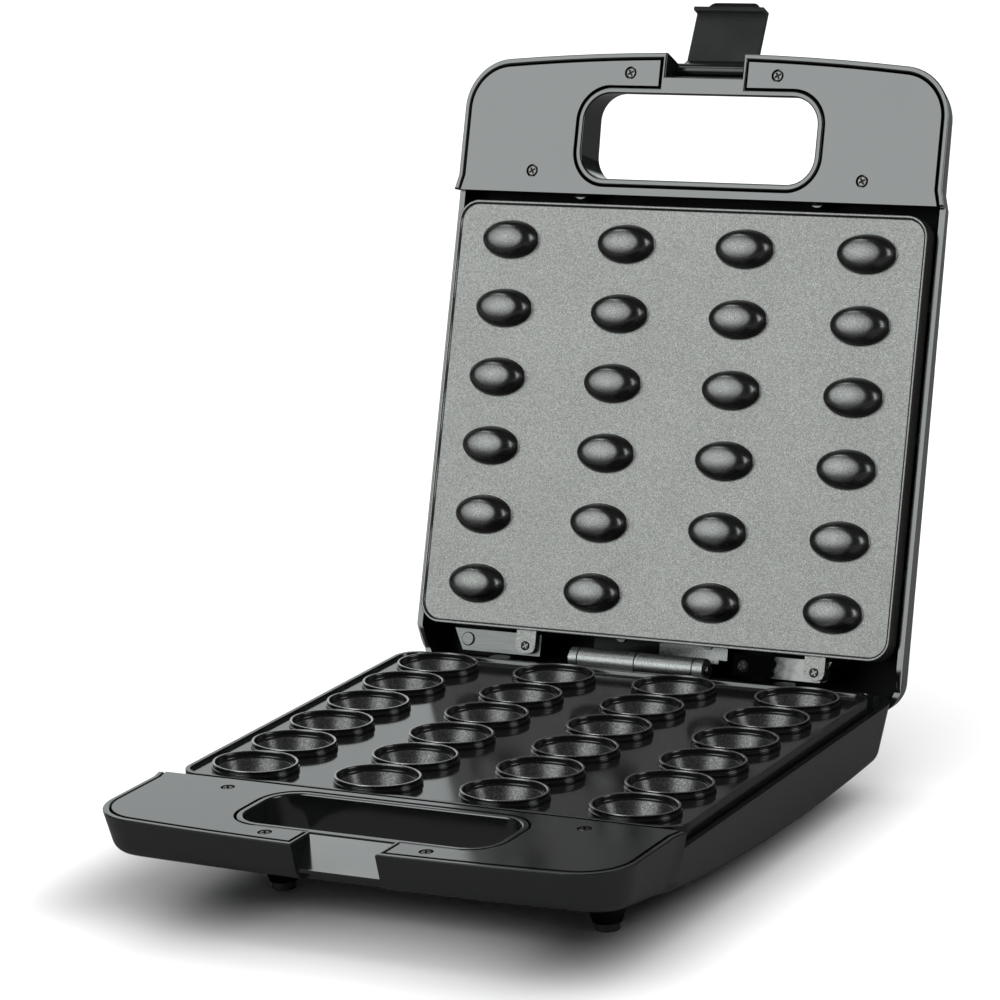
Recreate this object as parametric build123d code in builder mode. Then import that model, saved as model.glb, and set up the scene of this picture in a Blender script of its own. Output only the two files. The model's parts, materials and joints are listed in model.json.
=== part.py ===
from build123d import *
import os
from math import cos, radians, sin, sqrt, tan

# An electric nut cookie maker: two hinged halves with cast baking plates and a latch.
# Each half is drawn in its own plane. Its X runs across, its Y runs from the handle
# (negative) to the hinge (zero), and its Z runs away from the other half, so a depth
# of zero is the parting plane where the closed plates meet. All sizes are millimetres.

# Baking plates: the rest of the part takes its width and length from these
HALF_WIDTH = 124.6
PLATE_WIDTH = 2 * (HALF_WIDTH - 6.1)
PLATE_REAR = 10.6
PLATE_LENGTH = 199.4
PLATE_FRONT = PLATE_REAR + PLATE_LENGTH

# Baking pattern
COLUMNS = 4
ROWS = 6
COLUMN_MARGIN = 28.5
COLUMN_PITCH = (PLATE_WIDTH - 2 * COLUMN_MARGIN) / (COLUMNS - 1)
HINGE_TO_FIRST_ROW = PLATE_REAR + 19.9
LAST_ROW = PLATE_FRONT - 18.0
ROW_PITCH = (LAST_ROW - HINGE_TO_FIRST_ROW) / (ROWS - 1)

# Outline of both halves
HANDLE_HALF_WIDTH = HALF_WIDTH - 1.8
HANDLE_END = PLATE_FRONT + 72.5
HANDLE_LENGTH = 67.5
FLARE_LENGTH = 7.0
FRONT_BOW = 6.5
FRONT_CORNER = 24.0
REAR_CORNER = 20.0
WALL = 2.8
DRAFT = 14.0
SHOULDER = 8.0
RIM_DEPTH = 1.3

# Base half: side rim, rear wall and the depths of its curved floor
BASE_SIDE_RIM = 8.5
BASE_REAR = 11.0
BASE_FLOOR = ((-PLATE_FRONT - 80.0, 15.2), (-75.0, 39.0), (20.0, 35.0))

# Lid half: the rim climbs near the hinge so that the open lid clears the base
LID_SIDE_RIM = 6.0
LID_REAR_RIM = 12.0
LID_REAR = 14.0
LID_FLOOR = ((-PLATE_FRONT - 80.0, 17.0), (67.0 - PLATE_FRONT, 25.2), (20.0, 31.5))
RIM_CLIMB = (-9.0, 2.0)

# Hinge line and rest position
PARTING_ABOVE_HINGE = 2.0
LID_OPEN = 108.1
GROUND_CLEARANCE = 15.0

# Covers of the handles
COVER_THICK = 2.2
COVER_GAP = 0.8
COVER_REAR = PLATE_FRONT + 4.7

# Grip opening with its collar
GRIP_WIDTH = 2 * (HALF_WIDTH - 65.6)
GRIP_LENGTH = 39.8
GRIP_CORNER = 13.0
GRIP_CENTRE = PLATE_FRONT + 32.3
COLLAR = 3.0

# Notch at the middle of the handle, and the catch in the base
NOTCH_HALF_WIDTH = 19.4
NOTCH_WALL = 2.0
LID_NOTCH_FLOOR = PLATE_FRONT + 60.6
RAMP_TOP = PLATE_FRONT + 56.0
CATCH_NOSE = PLATE_FRONT + 67.5
CATCH_BACK = PLATE_FRONT + 61.0
CATCH_GAP = 0.5
CATCH_NOSE_HEIGHT = 1.4

# Section of the plates, and the seats they lie on
PLATE_CORNER = 10.0
PLATE_SKIN = 4.0
PLATE_SKIRT = 3.0
LIP_WIDTH = 2.0
BASE_LIP = 2.8
BASE_FACE = 5.3
BASE_PLATE_BOTTOM = 12.0
LID_LIP = -1.0
LID_PLATE_BOTTOM = 8.0
PLATE_GAP = 0.3
SEAT_SHARES = (0.2, 0.5, 0.8)
SEAT_WIDTH = 4.0
SEAT_REACH = 6.0

# Cavities of the base plate and domes of the lid plate, as half axes and heights
RING_SPACING = 1.3
RING_HALF_WIDTH = (ROW_PITCH - RING_SPACING) / 2
RING_OUT = (19.5, RING_HALF_WIDTH)
RING_IN = (18.0, RING_HALF_WIDTH - 1.3)
RING_STEP = 2.6
BOWL = (
    ((16.4, RING_HALF_WIDTH - 3.0), 0.0),
    ((13.6, RING_HALF_WIDTH - 5.7), 7.6),
    ((7.0, RING_HALF_WIDTH - 10.7), 11.4),
)
DOME = (
    ((14.7, RING_HALF_WIDTH - 6.3), 0.0),
    ((12.4, RING_HALF_WIDTH - 8.1), 5.6),
    ((5.4, RING_HALF_WIDTH - 12.4), 9.2),
)
WEB_END = 16.8
WEB_ROUND = 0.93
WEB_CLEARANCE = 0.25
WEB_WALL = 1.5
LID_WEB = 4.0

# Lugs of the plates, and the steel strips behind those of the lid
LUG_WIDTH = 10.0
LUG_THICK = 2.4
LUG_REACH = 10.2
LUG_DROP = 1.6
LUG_SCREW = 7.2
BASE_LUGS = (-72.0, 72.0)
LID_LUGS = (-62.5, HALF_WIDTH - 41.6)
FRONT_LUGS = (-60.0, 60.0)
COVER_CLEARANCE = 0.3
STRIP_THICK = 1.5
STRIP_Y = (-9.0, 1.0)
STRIP_LEFT = (23.1 - HALF_WIDTH, -56.0)
STRIP_RIGHT = (42.0, HALF_WIDTH - 34.6)
STRIP_SLANT = 5.0
STRIP_PIN_X = 30.6 - HALF_WIDTH
STRIP_PIN_Y = -4.3
STRIP_PIN_R = 3.2
STRIP_PIN_HEAD = 0.8
STRIP_END = 5.0

# Hinge
KNUCKLE_R = 5.2
PIN_R = 2.5
RUNNING_CLEARANCE = 0.05
KNUCKLE_GAP = 0.5
KNUCKLES = (-36.0, -31.5, -2.5, 26.5, 32.0)
PIN_END = 1.5
LEAF_THICK = 2.0
LEAF_START = 12.0
LEAF_REACH = 21.0
LEAF_FOOT = 14.0
LEAF_SCREW_X = 22.0
LEAF_SCREW_Y = 12.0

# Latch, drawn as it hangs closed from its pivot in the lid
LATCH_PIVOT_Y = PLATE_FRONT + 66.0
LATCH_PIVOT_DEPTH = 15.0
LATCH_BARREL_R = 3.2
LATCH_PIN_R = 1.3
LATCH_SIDE_GAP = 0.4
LATCH_WIDTH = 35.5
LATCH_THICK = 2.2
LATCH_REACH = 30.1
LATCH_LIP = 4.5
LATCH_LIP_THICK = 1.8
LATCH_TAB = 4.6
LATCH_TAB_WIDTH = 26.0
LATCH_TAB_FLARE = 1.0
LATCH_TAB_ROUND = 3.6
LATCH_OPEN = 104.0

# Legs and feet
LEG_X = HALF_WIDTH - 47.6
LEG_FRONT = PLATE_FRONT - 14.0
LEG_REAR = 16.0
LEG_TIP_R = 6.2
LEG_DRAFT = 17.0
FOOT_R = 5.2
FOOT_HEIGHT = 3.6
FOOT_STEM_R = 2.0
FOOT_STEM = 6.0

# Screws
SCREW_HEAD_R = 2.6
SCREW_HEAD = 1.1
SCREW_R = 1.45
SCREW_LENGTH = 9.0
SLOT_LENGTH = 3.2
SLOT_WIDTH = 0.7
SLOT_DEPTH = 0.6
SCREW_RECESS_R = 3.0
SCREW_RECESS = 1.2
BOSS_R = 4.0
COVER_SCREW_X = (HALF_WIDTH - 41.1, 37.2)
COVER_SCREW_Y = (-PLATE_FRONT - 15.0, -PLATE_FRONT - 62.0)
COVER_SCREWS = [(side * x, y) for x, y in zip(COVER_SCREW_X, COVER_SCREW_Y) for side in (-1, 1)]

# Heating parts
ELEMENT_R = 3.0
ELEMENT_SIDE = PLATE_WIDTH / 2 - 7.0
ELEMENT_END = PLATE_WIDTH / 2 - 18.5
ELEMENT_BEND = 11.0
ELEMENT_LANES = (0, 1, 3, 4)
PIN_TERMINAL_R = 1.5
PIN_TERMINAL = 8.0
REFLECTOR_GAP = 1.9
REFLECTOR_THICK = 0.8
REFLECTOR_SIZE = (PLATE_WIDTH - 31.0, PLATE_LENGTH - 27.4)
REFLECTOR_SCREW = 6.0
REFLECTOR_ROWS = (1, 4)
REFLECTOR_POST_R = 3.0
THERMOSTAT_R = 8.0
THERMOSTAT_HEIGHT = 4.0
FUSE_R = 2.2
FUSE_LENGTH = 22.0

# Cord gland in the rear wall, terminal block, and indicator lenses in the lid
GLAND_X = 52.0
GLAND_DEPTH = 25.6
GLAND_R = 3.7
GLAND_FLANGE_R = 4.6
GLAND_FLANGE = 1.6
GLAND_BORE_R = 2.8
TERMINAL_SIZE = (36.0, 14.0, 9.0)
TERMINAL_PLACE = (-64.0, -34.0)
TERMINAL_PAD = 2.0
TERMINAL_BORE_R = 1.8
TERMINAL_PITCH = 11.0
LENS_X = 12.0
LENS_Y = 150.0
LENS_R = 4.0
LENS_PROUD = 1.2
LENS_FLANGE = 1.0
LENS_FLANGE_R = 5.2
LAMP_R = 2.4
LAMP_LENGTH = 4.5
LENS_PAD = 1.5

# Cuts run this deep, and this far beyond the handle's end
DEEP = 60.0
REACH = HANDLE_END + 17.5

# Places worked out from the sizes above
cover_bottom = RIM_DEPTH + COVER_THICK
step_y = HANDLE_LENGTH - HANDLE_END
plate_centre = -(PLATE_REAR + PLATE_LENGTH / 2)
front_lug_y = -(PLATE_FRONT + LUG_SCREW)
rear_lug_y = LUG_SCREW - PLATE_REAR
notch_block = NOTCH_HALF_WIDTH + NOTCH_WALL
grip_front = -(GRIP_CENTRE + GRIP_LENGTH / 2)
base_skin_bottom = BASE_FACE + PLATE_SKIN
lid_skin_bottom = PLATE_SKIN
base_lug = BASE_FACE + LUG_DROP
lid_lug = LUG_DROP
lid_front_lug = cover_bottom + COVER_CLEARANCE + SCREW_HEAD
bowl_bottom = PLATE_GAP + RING_STEP + BOWL[-1][1]
base_web_bottom = bowl_bottom + WEB_WALL
lid_web_bottom = lid_skin_bottom + LID_WEB
base_reflector = base_web_bottom + REFLECTOR_GAP
lid_reflector = lid_skin_bottom + 2 * ELEMENT_R + REFLECTOR_GAP
catch_depth = LATCH_REACH - LATCH_PIVOT_DEPTH - CATCH_GAP
leg_height = BASE_FLOOR[1][1] + GROUND_CLEARANCE
leg_tip = leg_height - FOOT_HEIGHT
reflector_columns = (-COLUMN_PITCH, COLUMN_PITCH)

# Height of the hinge above the floor, and its place that centres the open part on its length
hinge_z = leg_height - PARTING_ABOVE_HINGE
latch_length = LATCH_REACH + LATCH_LIP_THICK + LATCH_TAB
latch_outside = LATCH_BARREL_R + LATCH_THICK + LATCH_TAB_FLARE
latch_swing = radians(LATCH_OPEN)
latch_tip_y = -LATCH_PIVOT_Y - latch_length * sin(latch_swing) - latch_outside * cos(latch_swing)
latch_tip_z = LATCH_PIVOT_DEPTH - latch_length * cos(latch_swing) + latch_outside * sin(latch_swing)
lid_swing = radians(LID_OPEN)
open_reach = (latch_tip_z + PARTING_ABOVE_HINGE) * sin(lid_swing) + latch_tip_y * cos(lid_swing)
hinge_y = (HANDLE_END - open_reach) / 2
hinge = Vector(0, hinge_y, hinge_z)

# The two halves: the base faces down, and the lid is swung open about the hinge
lid_up = Vector(0, sin(lid_swing), cos(lid_swing))
base_half = Plane(hinge + Vector(0, 0, PARTING_ABOVE_HINGE), x_dir=(-1, 0, 0), z_dir=(0, 0, -1))
lid_half = Plane(hinge + lid_up * PARTING_ABOVE_HINGE, x_dir=(1, 0, 0), z_dir=lid_up)


def side_of(half):
    """The plane across a half, where X is the half's Y and Y is its depth."""
    return Plane(half.origin, x_dir=half.y_dir, z_dir=half.x_dir)


def row_place(row):
    return -(HINGE_TO_FIRST_ROW + row * ROW_PITCH)


def lane_place(lane):
    """The middle of the lane between a row and the next one."""
    return row_place(lane + 0.5)


def leaf_screw_places():
    return [(-LEAF_SCREW_X, -LEAF_SCREW_Y), (LEAF_SCREW_X, -LEAF_SCREW_Y)]


def front_lug_places():
    return [(x, front_lug_y) for x in FRONT_LUGS]


def reflector_places():
    return [(x, row_place(row)) for x in reflector_columns for row in REFLECTOR_ROWS]


def at_cavities(half, depth):
    """The places of all cavities on a half, at a depth."""
    columns = [(i - (COLUMNS - 1) / 2) * COLUMN_PITCH for i in range(COLUMNS)]
    return [half.location * Location((x, row_place(row), depth)) for row in range(ROWS) for x in columns]


def plan_outline(inset, rear):
    """Outline of a half at the parting plane, drawn in by inset, narrower beside the handle."""
    wide = HALF_WIDTH - inset
    narrow = HANDLE_HALF_WIDTH - inset
    end = inset - HANDLE_END
    with BuildSketch() as outline:
        with BuildLine():
            bow = ThreePointArc((-narrow, FRONT_BOW + end), (0, end), (narrow, FRONT_BOW + end))
            Polyline(
                bow @ 1,
                (narrow, step_y - FLARE_LENGTH),
                (wide, step_y),
                (wide, rear - inset),
                (-wide, rear - inset),
                (-wide, step_y),
                (-narrow, step_y - FLARE_LENGTH),
                bow @ 0,
            )
        make_face()
        fillet(outline.vertices().group_by(Axis.Y)[-1], REAR_CORNER - inset)
        fillet(outline.vertices().group_by(Axis.Y)[0], FRONT_CORNER - inset)
    return outline.sketch


def belly_depth(floor, y):
    """Depth of a half's curved floor at a place along it."""
    arc = ThreePointArc(*floor)
    return arc.arc_center.Y + sqrt(arc.radius ** 2 - (y - arc.arc_center.X) ** 2)


def closed_body(half, inset, rear, rear_depth, floor):
    """One half as a solid block: drafted walls, a curved floor and a rounded shoulder."""
    front, middle, back = [(y, depth - inset) for y, depth in floor]
    rear_at_parting = rear + rear_depth * tan(radians(DRAFT))
    with BuildPart() as body:
        with BuildSketch(half):
            add(plan_outline(inset, rear_at_parting))
        extrude(amount=DEEP, taper=DRAFT)
        with BuildSketch(side_of(half)):
            with BuildLine():
                belly = ThreePointArc(front, middle, back)
                Polyline(belly @ 1, (back[0], 0), (front[0], 0), belly @ 0)
            make_face()
        extrude(amount=REACH, both=True, mode=Mode.INTERSECT)
        belly_face = body.faces().sort_by(Axis(half.origin, half.z_dir))[-1]
        fillet(belly_face.edges(), SHOULDER - inset)
    return body.part


def column(half, places, radius, top, length=DEEP):
    """Round posts at the given places, from the depth top."""
    with BuildPart() as posts:
        with BuildSketch(half.offset(top)):
            with Locations(*places):
                Circle(radius)
        extrude(amount=length)
    return posts.part


def block(half, x_span, y_span, top, bottom=DEEP):
    """A box between two X places, two Y places and two depths of a half."""
    with BuildPart() as solid:
        with BuildSketch(half.offset(top)):
            with Locations((sum(x_span) / 2, sum(y_span) / 2)):
                Rectangle(abs(x_span[1] - x_span[0]), abs(y_span[1] - y_span[0]))
        extrude(amount=bottom - top)
    return solid.part


def grip_tube(half, growth):
    """The grip opening as a solid, wider than the opening by growth."""
    with BuildPart() as tube:
        with BuildSketch(half):
            with Locations((0, -GRIP_CENTRE)):
                RectangleRounded(GRIP_WIDTH + 2 * growth, GRIP_LENGTH + 2 * growth, GRIP_CORNER + growth)
        extrude(amount=DEEP)
    return tube.part


def side_cut(half, points, half_width):
    """A prism across a half, from a profile of places and depths."""
    with BuildPart() as prism:
        with BuildSketch(side_of(half)):
            with BuildLine():
                Polyline(*points, close=True)
            make_face()
        extrude(amount=half_width, both=True)
    return prism.part


def rim_cut(half, side_rim, rear_rim, climb):
    """Everything above the rim: flush round the handle, lower beside the plate and behind it."""
    profile = (
        (-REACH, -DEEP),
        (-REACH, RIM_DEPTH),
        (step_y, RIM_DEPTH),
        (step_y, side_rim),
        (climb[0], side_rim),
        (climb[1], rear_rim),
        (REACH, rear_rim),
        (REACH, -DEEP),
    )
    return side_cut(half, profile, REACH)


def bosses(half, plate_bottom, front_lug_bottom, reflector_bottom):
    """What stands inside a shell: collar, notch walls, screw bosses and the plate's seats."""
    with BuildPart() as inside:
        add(grip_tube(half, COLLAR))
        add(block(half, (-notch_block, notch_block), (-REACH, grip_front), 0))
        add(column(half, COVER_SCREWS, BOSS_R, cover_bottom))
        add(column(half, front_lug_places(), BOSS_R, front_lug_bottom))
        add(column(half, reflector_places(), REFLECTOR_POST_R, reflector_bottom))
        add(column(half, leaf_screw_places(), BOSS_R, LEAF_REACH))
        for share in SEAT_SHARES:
            y = -PLATE_REAR - share * PLATE_LENGTH
            for side in (-1, 1):
                reach = (side * (HALF_WIDTH - WALL - SEAT_REACH), side * HALF_WIDTH)
                add(block(half, reach, (y - SEAT_WIDTH / 2, y + SEAT_WIDTH / 2), plate_bottom))
    return inside.part


def screws(half, places, bearing, length=SCREW_LENGTH):
    """Cross-slotted screws whose heads bear at a depth of the half."""
    with BuildPart() as fixings:
        with BuildSketch(half.offset(bearing - SCREW_HEAD)):
            with Locations(*places):
                Circle(SCREW_HEAD_R)
        extrude(amount=SCREW_HEAD)
        with BuildSketch(half.offset(bearing)):
            with Locations(*places):
                Circle(SCREW_R)
        extrude(amount=length)
        with BuildSketch(half.offset(bearing - SCREW_HEAD)):
            with Locations(*places):
                Rectangle(SLOT_LENGTH, SLOT_WIDTH)
                Rectangle(SLOT_WIDTH, SLOT_LENGTH)
        extrude(amount=SLOT_DEPTH, mode=Mode.SUBTRACT)
    return fixings.part


def elliptic_stack(bands, level):
    """Ellipses joined one above another into one tapering form, from a level up."""
    with BuildPart() as stack:
        for (first, start), (second, end) in zip(bands, bands[1:]):
            with BuildSketch(Plane.XY.offset(level + start)):
                Ellipse(*first)
            with BuildSketch(Plane.XY.offset(level + end)):
                Ellipse(*second)
            loft(ruled=True)
    return stack.part


def handle_cover(half):
    """The flat panel that closes a handle, round the collar and beside the notch."""
    inset = WALL + COVER_GAP + RIM_DEPTH * tan(radians(DRAFT))
    with BuildPart() as cover:
        with BuildSketch(half.offset(RIM_DEPTH)):
            add(plan_outline(inset, 0))
        extrude(amount=COVER_THICK, taper=DRAFT)
        add(block(half, (-REACH, REACH), (-COVER_REAR, REACH), 0), mode=Mode.SUBTRACT)
        add(grip_tube(half, COLLAR + COVER_GAP), mode=Mode.SUBTRACT)
        notch = notch_block + COVER_GAP
        add(block(half, (-notch, notch), (-REACH, -GRIP_CENTRE), 0), mode=Mode.SUBTRACT)
        add(column(half, COVER_SCREWS, SCREW_R, 0), mode=Mode.SUBTRACT)
        add(column(half, COVER_SCREWS, SCREW_RECESS_R, 0, RIM_DEPTH + SCREW_RECESS), mode=Mode.SUBTRACT)
    return cover.part


def plate_slab(half, face, bottom, lip_top, rear_lugs, rear_lug_top, front_lug_top):
    """A baking plate without its pattern: skin, raised lip, skirt and screw lugs."""
    with BuildPart() as slab:
        with BuildSketch(half.offset(lip_top)):
            with Locations((0, plate_centre)):
                RectangleRounded(PLATE_WIDTH, PLATE_LENGTH, PLATE_CORNER)
        extrude(amount=bottom - lip_top)
        with BuildSketch(half.offset(lip_top)):
            with Locations((0, plate_centre)):
                inner = (PLATE_WIDTH - 2 * LIP_WIDTH, PLATE_LENGTH - 2 * LIP_WIDTH)
                RectangleRounded(*inner, PLATE_CORNER - LIP_WIDTH)
        extrude(amount=face - lip_top, mode=Mode.SUBTRACT)
        with BuildSketch(half.offset(bottom)):
            with Locations((0, plate_centre)):
                inner = (PLATE_WIDTH - 2 * PLATE_SKIRT, PLATE_LENGTH - 2 * PLATE_SKIRT)
                RectangleRounded(*inner, PLATE_CORNER - PLATE_SKIRT)
        extrude(amount=face + PLATE_SKIN - bottom, mode=Mode.SUBTRACT)
        with BuildSketch(half.offset(rear_lug_top)):
            with Locations(*[(x, LUG_REACH / 2 - PLATE_REAR) for x in rear_lugs]):
                Rectangle(LUG_WIDTH, LUG_REACH)
        extrude(amount=LUG_THICK)
        with BuildSketch(half.offset(front_lug_top)):
            with Locations(*[(x, -(PLATE_FRONT + LUG_REACH / 2)) for x in FRONT_LUGS]):
                Rectangle(LUG_WIDTH, LUG_REACH)
        extrude(amount=LUG_THICK)
        add(column(half, [(x, rear_lug_y) for x in rear_lugs], SCREW_R, -DEEP, 2 * DEEP), mode=Mode.SUBTRACT)
        add(column(half, front_lug_places(), SCREW_R, -DEEP, 2 * DEEP), mode=Mode.SUBTRACT)
    return slab.part


def row_webs(half, skin_bottom, web_bottom):
    """Thick bars behind the rows, with lanes between them for the heating tube."""
    length = (COLUMNS - 1) * COLUMN_PITCH + 2 * WEB_END
    width = ROW_PITCH - 2 * ELEMENT_R - 2 * WEB_CLEARANCE
    with BuildPart() as webs:
        with BuildSketch(half.offset(skin_bottom)):
            with Locations(*[(0, row_place(row)) for row in range(ROWS)]):
                RectangleRounded(length, width, WEB_ROUND * width / 2)
        extrude(amount=web_bottom - skin_bottom)
    return webs.part


def heating_tube(half, skin_bottom):
    """The tube that runs back and forth in the lanes under a plate's skin."""
    first, second, third, fourth = [lane_place(lane) for lane in ELEMENT_LANES]
    points = (
        (-ELEMENT_END, first),
        (ELEMENT_SIDE, first),
        (ELEMENT_SIDE, second),
        (-ELEMENT_SIDE, second),
        (-ELEMENT_SIDE, third),
        (ELEMENT_SIDE, third),
        (ELEMENT_SIDE, fourth),
        (-ELEMENT_END, fourth),
    )
    level = half.offset(skin_bottom + ELEMENT_R)
    with BuildPart() as tube:
        with BuildLine(level) as route:
            FilletPolyline(*points, radius=ELEMENT_BEND)
        with BuildSketch(Plane(route.wire() @ 0, z_dir=route.wire() % 0)):
            Circle(ELEMENT_R)
        sweep(path=route.wire())
        for y in (first, fourth):
            end = level.from_local_coords((-ELEMENT_END, y, 0))
            with BuildSketch(Plane(end, z_dir=-half.x_dir)):
                Circle(PIN_TERMINAL_R)
            extrude(amount=PIN_TERMINAL)
    return tube.part


def reflector_sheet(half, level):
    """The bright sheet that turns the heat back to the plate."""
    with BuildPart() as sheet:
        with BuildSketch(half.offset(level)):
            with Locations((0, plate_centre)):
                Rectangle(*REFLECTOR_SIZE)
            with Locations(*reflector_places()):
                Circle(SCREW_R, mode=Mode.SUBTRACT)
        extrude(amount=REFLECTOR_THICK)
    return sheet.part


def cross_bar(x_span, centre, radius):
    """A round bar across the part, between two X places."""
    with BuildPart() as bar:
        with BuildSketch(Plane(centre + Vector(x_span[0], 0, 0), x_dir=(0, 1, 0), z_dir=(1, 0, 0))):
            Circle(radius)
        extrude(amount=x_span[1] - x_span[0])
    return bar.part


def hinge_leaf(half, axis_depth, knuckles, bore):
    """One leaf of the hinge: knuckles, the necks under them, a plate and a foot."""
    across = half.x_dir.X
    front = -KNUCKLE_R
    back = LEAF_THICK - KNUCKLE_R
    whole = (across * KNUCKLES[0], across * KNUCKLES[-1])
    with BuildPart() as leaf:
        add(block(half, whole, (front, back), axis_depth + LEAF_START, LEAF_REACH))
        add(block(half, whole, (front - LEAF_FOOT, back), LEAF_REACH - LEAF_THICK, LEAF_REACH))
        for first in knuckles:
            span = (KNUCKLES[first] + KNUCKLE_GAP / 2, KNUCKLES[first + 1] - KNUCKLE_GAP / 2)
            add(cross_bar(span, hinge, KNUCKLE_R))
            add(block(half, (across * span[0], across * span[1]), (front, back), axis_depth, LEAF_REACH))
        add(cross_bar((-REACH, REACH), hinge, bore), mode=Mode.SUBTRACT)
        add(column(half, leaf_screw_places(), SCREW_R, 0), mode=Mode.SUBTRACT)
    return leaf.part


# Base shell: a tray with a handle, four legs and the catch for the latch
base_lug_places = [(x, rear_lug_y) for x in BASE_LUGS]
base_lug_bottom = base_lug + LUG_THICK
base_legs = [(side * LEG_X, -y) for side in (-1, 1) for y in (LEG_FRONT, LEG_REAR)]
terminal_level = belly_depth(BASE_FLOOR, TERMINAL_PLACE[1]) - WALL - TERMINAL_PAD
gland_wall_y = BASE_REAR + (BASE_SIDE_RIM - GLAND_DEPTH) * tan(radians(DRAFT))
gland_point = base_half.from_local_coords((-GLAND_X, gland_wall_y, GLAND_DEPTH))
gland_plane = Plane(gland_point, x_dir=(1, 0, 0), z_dir=(0, cos(radians(DRAFT)), -sin(radians(DRAFT))))
catch_profile = (
    (-REACH, -DEEP),
    (-RAMP_TOP, -DEEP),
    (-RAMP_TOP, RIM_DEPTH),
    (-CATCH_NOSE, catch_depth - CATCH_NOSE_HEIGHT),
    (-CATCH_NOSE, catch_depth),
    (-CATCH_BACK, catch_depth),
    (-CATCH_BACK, DEEP),
    (-REACH, DEEP),
)
with BuildPart() as base_inside:
    add(closed_body(base_half, WALL, BASE_REAR, BASE_SIDE_RIM, BASE_FLOOR))
    add(bosses(base_half, BASE_PLATE_BOTTOM, base_lug_bottom, base_reflector + REFLECTOR_THICK),
        mode=Mode.SUBTRACT)
    add(column(base_half, base_lug_places, BOSS_R, base_lug_bottom), mode=Mode.SUBTRACT)
    terminal_x = (TERMINAL_PLACE[0] - TERMINAL_SIZE[0] / 2, TERMINAL_PLACE[0] + TERMINAL_SIZE[0] / 2)
    terminal_y = (TERMINAL_PLACE[1] - TERMINAL_SIZE[1] / 2, TERMINAL_PLACE[1] + TERMINAL_SIZE[1] / 2)
    add(block(base_half, terminal_x, terminal_y, terminal_level), mode=Mode.SUBTRACT)

with BuildPart() as base_shell:
    add(closed_body(base_half, 0, BASE_REAR, BASE_SIDE_RIM, BASE_FLOOR))
    for x, y in base_legs:
        root = belly_depth(BASE_FLOOR, y) - WALL
        with BuildSketch(base_half.offset(root)):
            with Locations((x, y)):
                Circle(LEG_TIP_R + (leg_tip - root) * tan(radians(LEG_DRAFT)))
        extrude(amount=leg_tip - root, taper=LEG_DRAFT)
    add(base_inside.part, mode=Mode.SUBTRACT)
    add(rim_cut(base_half, BASE_SIDE_RIM, BASE_SIDE_RIM, (-PLATE_REAR, 0)), mode=Mode.SUBTRACT)
    add(grip_tube(base_half, 0), mode=Mode.SUBTRACT)
    add(side_cut(base_half, catch_profile, NOTCH_HALF_WIDTH), mode=Mode.SUBTRACT)
    add(column(base_half, COVER_SCREWS, SCREW_R, 0, RIM_DEPTH + SCREW_RECESS + SCREW_LENGTH),
        mode=Mode.SUBTRACT)
    add(column(base_half, base_lug_places + front_lug_places(), SCREW_R, 0, base_lug + SCREW_LENGTH),
        mode=Mode.SUBTRACT)
    add(column(base_half, leaf_screw_places(), SCREW_R, 0, LEAF_REACH - LEAF_THICK + SCREW_LENGTH),
        mode=Mode.SUBTRACT)
    add(column(base_half, reflector_places(), SCREW_R, 0, base_reflector + REFLECTOR_SCREW),
        mode=Mode.SUBTRACT)
    add(column(base_half, base_legs, FOOT_STEM_R, leg_tip - FOOT_STEM), mode=Mode.SUBTRACT)
    with BuildSketch(gland_plane.offset(-2 * WALL)):
        Circle(GLAND_R)
    extrude(amount=4 * WALL, mode=Mode.SUBTRACT)

with BuildPart() as base_handle_cover:
    add(handle_cover(base_half))

with BuildPart() as base_cover_screws:
    add(screws(base_half, COVER_SCREWS, RIM_DEPTH + SCREW_RECESS))

# Base plate: a rimmed and stepped cavity at every place of the pattern
with BuildPart() as ring:
    with BuildSketch(Plane.XY.offset(PLATE_GAP)):
        Ellipse(*RING_OUT)
    extrude(amount=BASE_FACE - PLATE_GAP)

with BuildPart() as bowl:
    with BuildSketch(Plane.XY):
        Ellipse(*RING_IN)
    extrude(amount=PLATE_GAP + RING_STEP)
    add(elliptic_stack(BOWL, PLATE_GAP + RING_STEP))

with BuildPart() as base_plate:
    add(plate_slab(base_half, BASE_FACE, BASE_PLATE_BOTTOM, BASE_LIP, BASE_LUGS, base_lug, base_lug))
    add(row_webs(base_half, base_skin_bottom, base_web_bottom))
    with Locations(*at_cavities(base_half, 0)):
        add(ring.part)
    with Locations(*at_cavities(base_half, 0)):
        add(bowl.part, mode=Mode.SUBTRACT)

with BuildPart() as base_plate_screws:
    add(screws(base_half, base_lug_places + front_lug_places(), base_lug))

with BuildPart() as base_element:
    add(heating_tube(base_half, base_skin_bottom))

# Thermostat on the webs beside the middle lane, and a fuse under the skin in that lane
sensor_y = lane_place(2)
with BuildPart() as base_thermostat:
    with BuildSketch(base_half.offset(base_web_bottom)):
        with Locations((0, sensor_y)):
            Circle(THERMOSTAT_R)
    extrude(amount=THERMOSTAT_HEIGHT)

with BuildPart() as base_reflector_sheet:
    add(reflector_sheet(base_half, base_reflector))
    add(column(base_half, [(0, sensor_y)], THERMOSTAT_R + SCREW_RECESS, 0), mode=Mode.SUBTRACT)

with BuildPart() as base_reflector_screws:
    add(screws(base_half, reflector_places(), base_reflector, REFLECTOR_SCREW))

fuse_span = (COLUMN_PITCH - FUSE_LENGTH / 2, COLUMN_PITCH + FUSE_LENGTH / 2)
fuse_centre = base_half.from_local_coords((0, sensor_y, base_skin_bottom + FUSE_R))
with BuildPart() as base_thermal_fuse:
    add(cross_bar(fuse_span, fuse_centre, FUSE_R))

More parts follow.
